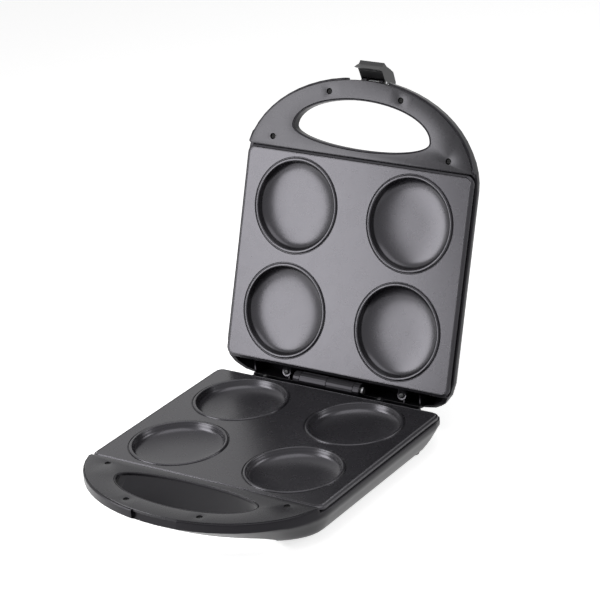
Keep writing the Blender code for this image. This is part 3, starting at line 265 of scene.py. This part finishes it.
def show(body, cad_body, slot, *nodes):
    """Rides a piece on its CAD body and lets it stand for CAD nodes."""
    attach(body, cad_body)
    if nodes:
        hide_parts(*nodes)
    return body


def apply_changes(body, steps):
    """Runs Boolean steps and the object's own modifiers, keeps the result, removes the tools."""
    for other, operation in steps:
        step = body.modifiers.new(other.name, "BOOLEAN")
        step.object = other
        step.operation = operation
        step.solver = "EXACT"
    graph = bpy.context.evaluated_depsgraph_get()
    graph.update()
    result = bpy.data.meshes.new_from_object(body.evaluated_get(graph))
    body.modifiers.clear()
    body.data = result
    for other, _ in steps:
        bpy.data.objects.remove(other, do_unlink=True)
    return body


def noise_material(name, colour, roughness, metallic=0.0, specular=0.5, grain=900.0,
                   depth=0.00002, mottle=0.06, mottle_scale=18.0, rough_spread=0.025, coat=0.0,
                   tint=(1.0, 1.0, 1.0)):
    """Plastic, coating or metal: mottled colour, uneven gloss and a fine moulded or cast grain."""
    found = bpy.data.materials.new(name)
    found.use_nodes = True
    tree = found.node_tree
    shader = tree.nodes["Principled BSDF"]
    shader.inputs["Metallic"].default_value = metallic
    shader.inputs["Specular IOR Level"].default_value = specular
    shader.inputs["Coat Weight"].default_value = coat
    shader.inputs["Specular Tint"].default_value = (*tint, 1.0)
    place = tree.nodes.new("ShaderNodeTexCoord")

    def noise(scale, detail):
        made = tree.nodes.new("ShaderNodeTexNoise")
        made.inputs["Scale"].default_value = scale
        made.inputs["Detail"].default_value = detail
        tree.links.new(place.outputs["Object"], made.inputs["Vector"])
        return made

    cloud = noise(mottle_scale, 4.0)
    ramp = tree.nodes.new("ShaderNodeValToRGB")
    ramp.color_ramp.elements[0].position = 0.3
    ramp.color_ramp.elements[1].position = 0.7
    ramp.color_ramp.elements[0].color = (*(value * (1 - mottle) for value in colour), 1.0)
    ramp.color_ramp.elements[1].color = (*(value * (1 + mottle) for value in colour), 1.0)
    tree.links.new(cloud.outputs["Fac"], ramp.inputs["Fac"])
    tree.links.new(ramp.outputs["Color"], shader.inputs["Base Color"])
    speck = noise(grain, 2.0)
    spread = tree.nodes.new("ShaderNodeMapRange")
    spread.inputs["To Min"].default_value = roughness - rough_spread
    spread.inputs["To Max"].default_value = roughness + rough_spread
    tree.links.new(noise(mottle_scale * 4, 3.0).outputs["Fac"], spread.inputs["Value"])
    tree.links.new(spread.outputs["Result"], shader.inputs["Roughness"])
    bump = tree.nodes.new("ShaderNodeBump")
    bump.inputs["Strength"].default_value = 0.5
    bump.inputs["Distance"].default_value = depth
    soft_edge = tree.nodes.new("ShaderNodeBevel")
    soft_edge.samples = 4
    soft_edge.inputs["Radius"].default_value = SHADED_ROUND
    tree.links.new(soft_edge.outputs["Normal"], bump.inputs["Normal"])
    tree.links.new(speck.outputs["Fac"], bump.inputs["Height"])
    tree.links.new(bump.outputs["Normal"], shader.inputs["Normal"])
    return found


MATERIALS = {
    "housing_plastic": noise_material("housing_plastic", (0.0040, 0.0037, 0.0046), 0.30,
                                      specular=0.22, depth=0.000006, tint=(0.93, 0.90, 1.0)),
    "trim_plastic": noise_material("trim_plastic", (0.0130, 0.0128, 0.0142), 0.275,
                                   specular=0.36, grain=1400.0, tint=(0.95, 0.93, 1.0)),
    "latch_plastic": noise_material("latch_plastic", (0.010, 0.010, 0.0105), 0.38),
    "plate_coating": noise_material("plate_coating", (0.0085, 0.0081, 0.0096), 0.27,
                                    specular=0.58, grain=1700.0, depth=0.000015, mottle=0.10,
                                    tint=(0.94, 0.915, 1.0)),
    "screw_steel": noise_material("screw_steel", (0.05, 0.05, 0.052), 0.38, metallic=0.9),
    # Painted shade: a darker, duller copy of the screw finish for the screws sunk in the trim, standing in for the
    # shade of their holes
    "screw_painted_shade": noise_material("screw_painted_shade", (0.006, 0.006, 0.0062), 0.50, specular=0.20),
    "pin_steel": noise_material("pin_steel", (0.50, 0.50, 0.51), 0.30, metallic=1.0),
    "element_steel": noise_material("element_steel", (0.36, 0.34, 0.31), 0.42, metallic=1.0,
                                    mottle=0.18),
    "clamp_steel": noise_material("clamp_steel", (0.52, 0.52, 0.50), 0.36, metallic=1.0),
    "shield_aluminium": noise_material("shield_aluminium", (0.66, 0.66, 0.67), 0.38,
                                       metallic=1.0, grain=300.0),
    "fuse_metal": noise_material("fuse_metal", (0.55, 0.55, 0.53), 0.35, metallic=1.0),
    "ceramic_white": noise_material("ceramic_white", (0.78, 0.77, 0.72), 0.35),
    "foot_rubber": noise_material("foot_rubber", (0.018, 0.018, 0.018), 0.80, specular=0.3,
                                  depth=0.00006),
    "lens_red": noise_material("lens_red", (0.55, 0.015, 0.012), 0.12, coat=0.6),
    "lens_green": noise_material("lens_green", (0.015, 0.38, 0.05), 0.12, coat=0.6),
    "lamp_glass": noise_material("lamp_glass", (0.70, 0.66, 0.58), 0.10, coat=0.5),
}


def finish_cad_nodes():
    """Every CAD node gets the procedural finish of its slot."""
    slots = {entry["node"]: entry["material_slot"] for entry in frame["record"]["subparts"]}
    for name, body in frame["nodes"].items():
        body.data.materials.clear()
        body.data.materials.append(MATERIALS[slots[name]])


def rounded_rectangle(half_x, half_y, radius, z):
    centres = ((half_x - radius, half_y - radius, 0), (radius - half_x, half_y - radius, 1),
               (radius - half_x, radius - half_y, 2), (half_x - radius, radius - half_y, 3))
    ring = []
    for centre_x, centre_y, quarter in centres:
        for index in range(CORNER_SIDES + 1):
            turn = (quarter + index / CORNER_SIDES) * math.pi / 2
            ring.append(Vector((centre_x + radius * math.cos(turn),
                                centre_y + radius * math.sin(turn), z)))
    return ring


def opening_ring(grow, z):
    ring = []
    for index in range(OPENING_SIDES):
        turn = 2 * math.pi * index / OPENING_SIDES
        reach = OPENING_REAR_REACH if math.sin(turn) > 0 else OPENING_FRONT_REACH
        ring.append(Vector(((OPENING_HALF_WIDTH + grow) * math.cos(turn),
                            -OPENING_CENTRE_Y + (reach + grow) * math.sin(turn), z)))
    return ring


def trim_outline(inset, z, rear):
    """The D outline of the handle trim: the handle curve cut off straight at its rear."""
    half_width = HOUSING_HALF_WIDTH - inset
    front = HANDLE_REACH - inset
    share = (rear - HANDLE_BLEND_Y) / (front - HANDLE_BLEND_Y)
    start = math.asin(share)
    ring = []
    for index in range(HANDLE_SIDES + 1):
        turn = start + (math.pi - 2 * start) * index / HANDLE_SIDES
        ring.append(Vector((half_width * math.cos(turn),
                            -HANDLE_BLEND_Y - (front - HANDLE_BLEND_Y) * math.sin(turn), z)))
    return ring


def eased(points, radius, steps=3):
    """A line of (x, y) points with each inner corner rounded."""
    line = [Vector(point) for point in points]
    result = [line[0]]
    for before, corner, after in zip(line, line[1:], line[2:]):
        back = before - corner
        ahead = after - corner
        start = corner + back * min(radius / back.length, 0.45)
        end = corner + ahead * min(radius / ahead.length, 0.45)
        for index in range(steps + 1):
            share = index / steps
            result.append(start * (1 - share) ** 2 + corner * 2 * share * (1 - share)
                          + end * share ** 2)
    return result + [line[-1]]


def cup_centres():
    return [(side * CUP_PITCH_X / 2, row * CUP_PITCH_Y / 2) for row in (-1, 1) for side in (-1, 1)]


def trim_screw_places():
    return [(side * x, -y) for x, y in TRIM_SCREWS for side in (-1, 1)]


def ear_places():
    rear = PLATE_HALF_LENGTH + PLATE_EDGE_ROLL + EAR_REACH - EAR_HOLE_INSET
    return [(-EAR_INNER_X, rear), (EAR_OUTER_X, rear)]


def cup_profile():
    """Radius and depth from the groove round a cup, over its bead and down to its floor."""
    mouth = CUP_MOUTH_RADIUS
    bead = mouth + BEAD_WIDTH
    groove_middle = bead + GROOVE_WIDTH / 2
    profile = []
    for index in range(ARC_STEPS + 1):
        turn = index / ARC_STEPS * math.pi
        profile.append((groove_middle + GROOVE_WIDTH / 2 * math.cos(turn),
                        GROOVE_DEPTH * math.sin(turn)))
    for index in range(1, BEAD_STEPS):
        turn = index / BEAD_STEPS * math.pi
        profile.append((mouth + BEAD_WIDTH / 2 + BEAD_WIDTH / 2 * math.cos(turn),
                        -BEAD_HEIGHT * math.sin(turn)))
    high, low = CUP_LIP_SHARES
    profile.append((mouth, BEAD_HEIGHT * high))
    profile.append((mouth - CUP_WALL_DRAFT * high, BEAD_HEIGHT * low))
    wall_foot = mouth - CUP_WALL_DRAFT
    rim = profile[-1][1]
    for index in range(1, CUP_STEPS):
        turn = math.pi / 2 * index / CUP_STEPS
        profile.append((wall_foot * math.cos(turn) ** (2 / CUP_CURVE_POWER),
                        rim + (CUP_DEPTH - rim) * math.sin(turn) ** (2 / CUP_CURVE_POWER)))
    return profile


def cup_under_profile():
    """Radius and depth of the hidden underside of a cup, which keeps the solid's round foot."""
    wall_foot = CUP_MOUTH_RADIUS - CUP_WALL_DRAFT + PLATE_THICKNESS
    outer_fillet = CUP_FILLET_RADIUS + PLATE_THICKNESS
    base_depth = CUP_DEPTH + PLATE_THICKNESS
    profile = [(CUP_MOUTH_RADIUS + PLATE_THICKNESS, PLATE_THICKNESS)]
    for index in range(1, UNDER_STEPS + 1):
        turn = index / UNDER_STEPS * math.pi / 2
        profile.append((wall_foot - outer_fillet * (1 - math.cos(turn)),
                        base_depth - outer_fillet * (1 - math.sin(turn))))
    return profile


def add_cup(shape, profile, centre):
    rings = [add_ring(shape, circle(radius, CUP_SIDES, *centre, depth))
             for radius, depth in profile]
    for first, second in zip(rings, rings[1:]):
        join_rings(shape, first, second)
    shape.faces.new(rings[-1])
    return rings[0]


def plate(name, matrix, cad_body, node):
    """The cast plate: rolled edge, skirt, and four cups, each with its bead and groove."""
    roll = PLATE_EDGE_ROLL
    inner = roll - PLATE_THICKNESS
    lip = [(PLATE_LIP_WIDTH * (0.5 - 0.5 * math.cos(math.pi * index / ARC_STEPS)),
            -PLATE_LIP_HEIGHT * math.sin(math.pi * index / ARC_STEPS))
           for index in range(ARC_STEPS + 1)]
    edge = [(roll * out, PLATE_EDGE_DROP * down) for out, down in PLATE_EDGE_SHARES]
    edge += [(roll, PLATE_SKIRT_DEPTH), (inner, PLATE_SKIRT_DEPTH), (inner, PLATE_THICKNESS)]
    steps = lip[:-1] + eased([lip[-1]] + edge, PLATE_ROUND)
    shape = bmesh.new()
    rings = []
    for grow, depth in steps:
        ring = rounded_rectangle(PLATE_HALF_WIDTH + grow, PLATE_HALF_LENGTH + grow,
                                 PLATE_CORNER_RADIUS + grow, depth)
        rings.append(add_ring(shape, ring))
    for first, second in zip(rings, rings[1:]):
        join_rings(shape, first, second)
    tops = [add_cup(shape, cup_profile(), centre) for centre in cup_centres()]
    unders = [add_cup(shape, cup_under_profile(), centre) for centre in cup_centres()]
    fill_flat(shape, [rings[0]] + tops)
    fill_flat(shape, [rings[-1]] + unders)
    coating = MATERIALS["plate_coating"]
    body = mesh_object(name, shape, matrix, coating, ROUNDED_SHARP_ANGLE)
    bore = SCREW_SHANK_RADIUS + CLEARANCE
    changes = []
    for index, (x, y) in enumerate(ear_places()):
        ear = ear_shape(x)
        hole = turned(((bore, EAR_DEPTH - OVERRUN), (bore, EAR_DEPTH + EAR_THICKNESS + OVERRUN)),
                      SCREW_SIDES, x, y)
        changes.append((mesh_object(f"{name}_ear_{index}", ear, matrix, coating), "UNION"))
        changes.append((mesh_object(f"{name}_hole_{index}", hole, matrix, coating), "DIFFERENCE"))
    apply_changes(body, changes)
    return show(body, cad_body, "plate_coating", node)


def ear_shape(x):
    """A screw ear with a round end."""
    radius = EAR_WIDTH / 2
    centre = PLATE_HALF_LENGTH + PLATE_EDGE_ROLL + EAR_REACH - radius
    start = PLATE_HALF_LENGTH + PLATE_EDGE_ROLL - PLATE_THICKNESS / 2
    outline = [(x - radius, start), (x + radius, start)]
    for index in range(EAR_STEPS + 1):
        turn = math.pi * index / EAR_STEPS
        outline.append((x + radius * math.cos(turn), centre + radius * math.sin(turn)))
    return loft([[Vector((px, py, z)) for px, py in outline]
                 for z in (EAR_DEPTH, EAR_DEPTH + EAR_THICKNESS)])


def trim(name, matrix, cad_body, node):
    """The cover of a handle: a flat D with soft edges, an oval opening and sunk holes."""
    top = -TRIM_PROUD
    bottom = TRIM_THICKNESS - TRIM_PROUD
    inset = TRIM_LIP + CLEARANCE
    shape = bmesh.new()

    def chain(make, radius):
        rings = []
        for index in range(TRIM_ROUND_STEPS + 1):
            turn = index / TRIM_ROUND_STEPS * math.pi / 2
            rings.append(add_ring(shape, make(radius * (1 - math.sin(turn)),
                                              top + radius * (1 - math.cos(turn)))))
        rings.append(add_ring(shape, make(0.0, bottom)))
        for first, second in zip(rings, rings[1:]):
            join_rings(shape, first, second)
        return rings[0], rings[-1]

    outer = chain(lambda extra, z: trim_outline(inset + extra, z, TRIM_REAR_Y + extra), TRIM_ROUND)
    holes = [chain(lambda extra, z: opening_ring(TUNNEL_WALL + extra, z), OPENING_ROUND)]
    wide = SCREW_HEAD_RADIUS + SCREW_SEAT_GAP
    for x, y in trim_screw_places():
        holes.append(chain(lambda extra, z, x=x, y=y: circle(wide + extra, SCREW_SIDES, x, y, z),
                           CLEARANCE))
    fill_flat(shape, [outer[0]] + [hole[0] for hole in holes])
    fill_flat(shape, [outer[1]] + [hole[1] for hole in holes])
    body = mesh_object(name, shape, matrix, MATERIALS["trim_plastic"], ROUNDED_SHARP_ANGLE)
    return show(body, cad_body, "trim_plastic", node)


def opening_collar(name, matrix, cad_body, deep):
    """The collar of the handle opening, with a rounded bead on the flat rim of its tunnel."""
    shape = bmesh.new()
    section = [(-COLLAR_PROUD, deep), (-COLLAR_PROUD, COLLAR_RIM)]
    for index in range(ARC_STEPS + 1):
        turn = math.pi * index / ARC_STEPS
        section.append((COLLAR_BEAD_WIDTH * (0.5 - 0.5 * math.cos(turn)) - COLLAR_PROUD,
                        COLLAR_RIM - COLLAR_BEAD_HEIGHT * math.sin(turn)))
    section += [(COLLAR_THICKNESS, COLLAR_RIM + COLLAR_PROUD), (COLLAR_THICKNESS, deep)]
    rings = [add_ring(shape, opening_ring(grow, depth)) for grow, depth in section]
    for index, ring in enumerate(rings):
        join_rings(shape, ring, rings[(index + 1) % len(rings)])
    body = mesh_object(name, shape, matrix, MATERIALS["housing_plastic"], ROUNDED_SHARP_ANGLE)
    return show(body, cad_body, "housing_plastic")


def latch_panel():
    """The face of the latch between its hook and its pivot. It closes the hollow of the lever."""
    place = LID_FRAME @ Matrix.Translation((0.0, -LATCH_PIVOT_Y, LATCH_PIVOT_DEPTH))
    place = place @ Matrix.Rotation(-LATCH_SWING, 4, "X")
    outline = [(out * LATCH_THICKNESS, up * LATCH_HEIGHT) for out, up in LATCH_PANEL_SHARES]
    half = LATCH_WIDTH / 2 - LATCH_WALL + CLEARANCE
    shape = loft([[Vector((x, y, z)) for y, z in outline] for x in (-half, half)])
    body = mesh_object("latch_face_panel", shape, place, MATERIALS["latch_plastic"],
                       ROUNDED_SHARP_ANGLE)
    return show(body, "latch", "latch_plastic")


def screw(name, matrix, cad_body, node, x, y, head_top, finish):
    """A pan head screw with a cross recess."""
    seat = head_top + SCREW_HEAD_HEIGHT
    radius = SCREW_HEAD_RADIUS
    profile = [(radius * HEAD_FLAT_SHARE, head_top)]
    for index in range(1, ARC_STEPS + 1):
        turn = index / ARC_STEPS * math.pi / 2
        profile.append((radius * (HEAD_FLAT_SHARE + (1 - HEAD_FLAT_SHARE) * math.sin(turn)),
                        head_top + SCREW_HEAD_HEIGHT * HEAD_DOME_SHARE * (1 - math.cos(turn))))
    profile += [(radius, seat), (SCREW_SHANK_RADIUS, seat),
                (SCREW_SHANK_RADIUS, seat + SCREW_LENGTH * SHANK_SHARE),
                (SCREW_SHANK_RADIUS * TIP_SHARE, seat + SCREW_LENGTH)]
    body = mesh_object(name, turned(profile, SCREW_SIDES, x, y), matrix, finish)
    arm = radius * CROSS_ARM_SHARE
    half = radius * CROSS_HALF_SHARE
    deep = head_top + SCREW_HEAD_HEIGHT * CROSS_DEPTH_SHARE
    changes = []
    for tag, size_x, size_y in (("a", arm, half), ("b", half, arm)):
        recess = block((x - size_x, y - size_y, head_top - OVERRUN),
                       (x + size_x, y + size_y, deep))
        changes.append((mesh_object(f"{name}_{tag}", recess, matrix, finish), "DIFFERENCE"))
    apply_changes(body, changes)
    return show(body, cad_body, "screw_steel", node)


def on_outline(point):
    """Whether a point of the half frame is on the outline of the housing, seen from above."""
    ahead = max(-point.y - HANDLE_BLEND_Y, 0.0) / (HANDLE_REACH - HANDLE_BLEND_Y)
    return math.hypot(point.x / HOUSING_HALF_WIDTH, ahead) > OUTLINE_SHARE


def round_rim(shape):
    """Rounds the outer edge of the flat rim. The shape is in the half frame."""
    rim = []
    for edge in shape.edges:
        slopes = sorted(face.normal.z for face in edge.link_faces)
        if len(slopes) == 2 and slopes[0] < RIM_FACE_SLOPE and abs(slopes[1]) < RIM_WALL_SLOPE:
            if all(on_outline(vert.co) for vert in edge.verts):
                rim.append(edge)
    bmesh.ops.bevel(shape, geom=rim, offset=RIM_ROUND, segments=RIM_SEGMENTS, profile=0.5,
                    affect="EDGES", clamp_overlap=False)


def moulded(name, cad_body, slot, node, matrix=None):
    """A moulding with the form of its CAD node, shaded smooth along its curved walls.

    Where a half frame is given, the outer edge of its rim is rounded too.
    """
    shape = bmesh.new()
    shape.from_mesh(frame["nodes"][node].data)
    bmesh.ops.remove_doubles(shape, verts=shape.verts, dist=CLEARANCE / 100)
    bmesh.ops.dissolve_limit(shape, angle_limit=math.radians(MERGE_ANGLE), verts=shape.verts,
                             edges=shape.edges, use_dissolve_boundaries=False, delimit=set())
    if matrix is not None:
        bmesh.ops.transform(shape, matrix=matrix.inverted(), verts=shape.verts)
        shape.normal_update()
        round_rim(shape)
    body = mesh_object(name, shape, matrix or Matrix.Identity(4), MATERIALS[slot],
                       MOULDED_SHARP_ANGLE)
    weighted = body.modifiers.new("weighted_normals", "WEIGHTED_NORMAL")
    weighted.keep_sharp = True
    apply_changes(body, [])
    return show(body, cad_body, slot, node)


def background_rays(tree):
    """1 for the rays that show the pale background: of the camera, of gloss and through glass."""
    path = tree.nodes.new("ShaderNodeLightPath")
    seen = path.outputs["Is Camera Ray"]
    for kind in ("Is Glossy Ray", "Is Transmission Ray"):
        either = tree.nodes.new("ShaderNodeMath")
        either.operation = "MAXIMUM"
        tree.links.new(seen, either.inputs[0])
        tree.links.new(path.outputs[kind], either.inputs[1])
        seen = either.outputs[0]
    return seen


def stage():
    """A wide pale floor that keeps the soft shadow of the object."""
    size = FLOOR_HALF_SIZE
    shape = bmesh.new()
    corners = [shape.verts.new((x * size, y * size, 0.0))
               for x, y in ((-1, -1), (1, -1), (1, 1), (-1, 1))]
    shape.faces.new(corners)
    mesh = bpy.data.meshes.new("floor")
    shape.to_mesh(mesh)
    shape.free()
    floor = bpy.data.objects.new("floor", mesh)
    bpy.context.collection.objects.link(floor)
    found = bpy.data.materials.new("floor")
    found.use_nodes = True
    tree = found.node_tree
    shader = tree.nodes["Principled BSDF"]
    shader.inputs["Base Color"].default_value = (FLOOR_COLOUR, FLOOR_COLOUR, FLOOR_COLOUR, 1.0)
    shader.inputs["Roughness"].default_value = 0.9
    shader.inputs["Specular IOR Level"].default_value = 0.1
    glow = tree.nodes.new("ShaderNodeEmission")
    strength = tree.nodes.new("ShaderNodeMath")
    strength.operation = "MULTIPLY"
    strength.inputs[1].default_value = FLOOR_GLOW
    tree.links.new(background_rays(tree), strength.inputs[0])
    tree.links.new(strength.outputs[0], glow.inputs["Strength"])
    both = tree.nodes.new("ShaderNodeAddShader")
    tree.links.new(shader.outputs[0], both.inputs[0])
    tree.links.new(glow.outputs[0], both.inputs[1])
    tree.links.new(both.outputs[0], tree.nodes["Material Output"].inputs["Surface"])
    mesh.materials.append(found)


def area_light(name, place, target, size, power, lean):
    data = bpy.data.lights.new(name, "AREA")
    data.shape = "RECTANGLE"
    data.size, data.size_y = size
    data.energy = power
    lamp = bpy.data.objects.new(name, data)
    bpy.context.collection.objects.link(lamp)
    lamp.location = place
    aim = (Vector(target) - Vector(place)).to_track_quat("-Z", "Y")
    lamp.rotation_euler = (aim @ Quaternion((0.0, 0.0, 1.0), lean)).to_euler()


def light():
    """Three softboxes and a pale world."""
    for softbox in SOFTBOXES:
        area_light(*softbox)
    world = bpy.data.worlds.new("studio")
    world.use_nodes = True
    bpy.context.scene.world = world
    tree = world.node_tree
    level = tree.nodes.new("ShaderNodeMath")
    level.operation = "MULTIPLY_ADD"
    level.inputs[1].default_value = WORLD_GLOW
    level.inputs[2].default_value = WORLD_LEVEL
    tree.links.new(background_rays(tree), level.inputs[0])
    background = tree.nodes["Background"]
    background.inputs["Color"].default_value = (1.0, 1.0, 1.0, 1.0)
    tree.links.new(level.outputs[0], background.inputs["Strength"])


def camera():
    """The camera at the photo's angle, with its slight roll."""
    ahead = Vector((-math.sin(CAMERA_AZIMUTH) * math.cos(CAMERA_ELEVATION),
                    math.cos(CAMERA_AZIMUTH) * math.cos(CAMERA_ELEVATION),
                    -math.sin(CAMERA_ELEVATION)))
    right = ahead.cross(Vector((0.0, 0.0, 1.0))).normalized()
    up = right.cross(ahead)
    rolled_right = math.cos(CAMERA_ROLL) * right + math.sin(CAMERA_ROLL) * up
    rolled_up = math.cos(CAMERA_ROLL) * up - math.sin(CAMERA_ROLL) * right
    data = bpy.data.cameras.new("camera")
    data.sensor_fit = "HORIZONTAL"
    data.sensor_width = CAMERA_SENSOR
    data.lens = CAMERA_LENS
    data.clip_end = 20.0
    eye = bpy.data.objects.new("camera", data)
    bpy.context.collection.objects.link(eye)
    turn = Matrix((rolled_right, rolled_up, -ahead)).transposed().to_4x4()
    eye.matrix_world = Matrix.Translation(ORIGIN + CAMERA_PLACE) @ turn
    bpy.context.scene.camera = eye


def dress_half(prefix, side, matrix, cad_body):
    """The plate, trim and screws of one half."""
    plate(f"{side}_plate_cast", matrix, cad_body, f"{side}_plate")
    trim(f"{prefix}_trim_cover", matrix, cad_body, f"{prefix}_handle_trim")
    for index, (x, y) in enumerate(trim_screw_places(), 1):
        node = f"{prefix}_trim_screw_{index}"
        # Painted shade: the screws sunk in the trim take the darker copy of the screw finish
        screw(f"{node}_cross", matrix, cad_body, node, x, y, SCREW_SINK - TRIM_PROUD,
              MATERIALS["screw_painted_shade"])
    for index, (x, y) in enumerate(ear_places(), 1):
        node = f"{side}_plate_screw_{index}"
        screw(f"{node}_cross", matrix, cad_body, node, x, y,
              EAR_DEPTH - CLEARANCE - SCREW_HEAD_HEIGHT, MATERIALS["screw_steel"])


def main():
    finish_cad_nodes()
    dress_half("base", "lower", BASE_FRAME, "base")
    dress_half("lid", "upper", LID_FRAME, "lid")
    moulded("base_moulding", "base", "housing_plastic", "base_housing", BASE_FRAME)
    moulded("lid_moulding", "lid", "housing_plastic", "lid_housing", LID_FRAME)
    opening_collar("base_opening_collar", BASE_FRAME, "base", COLLAR_SHORT_DEPTH)
    opening_collar("lid_opening_collar", LID_FRAME, "lid", COLLAR_DEPTH)
    latch_panel()
    moulded("latch_moulding", "latch", "latch_plastic", "latch")
    stage()
    light()
    camera()
    bpy.context.scene.view_settings.view_transform = "Standard"


main()
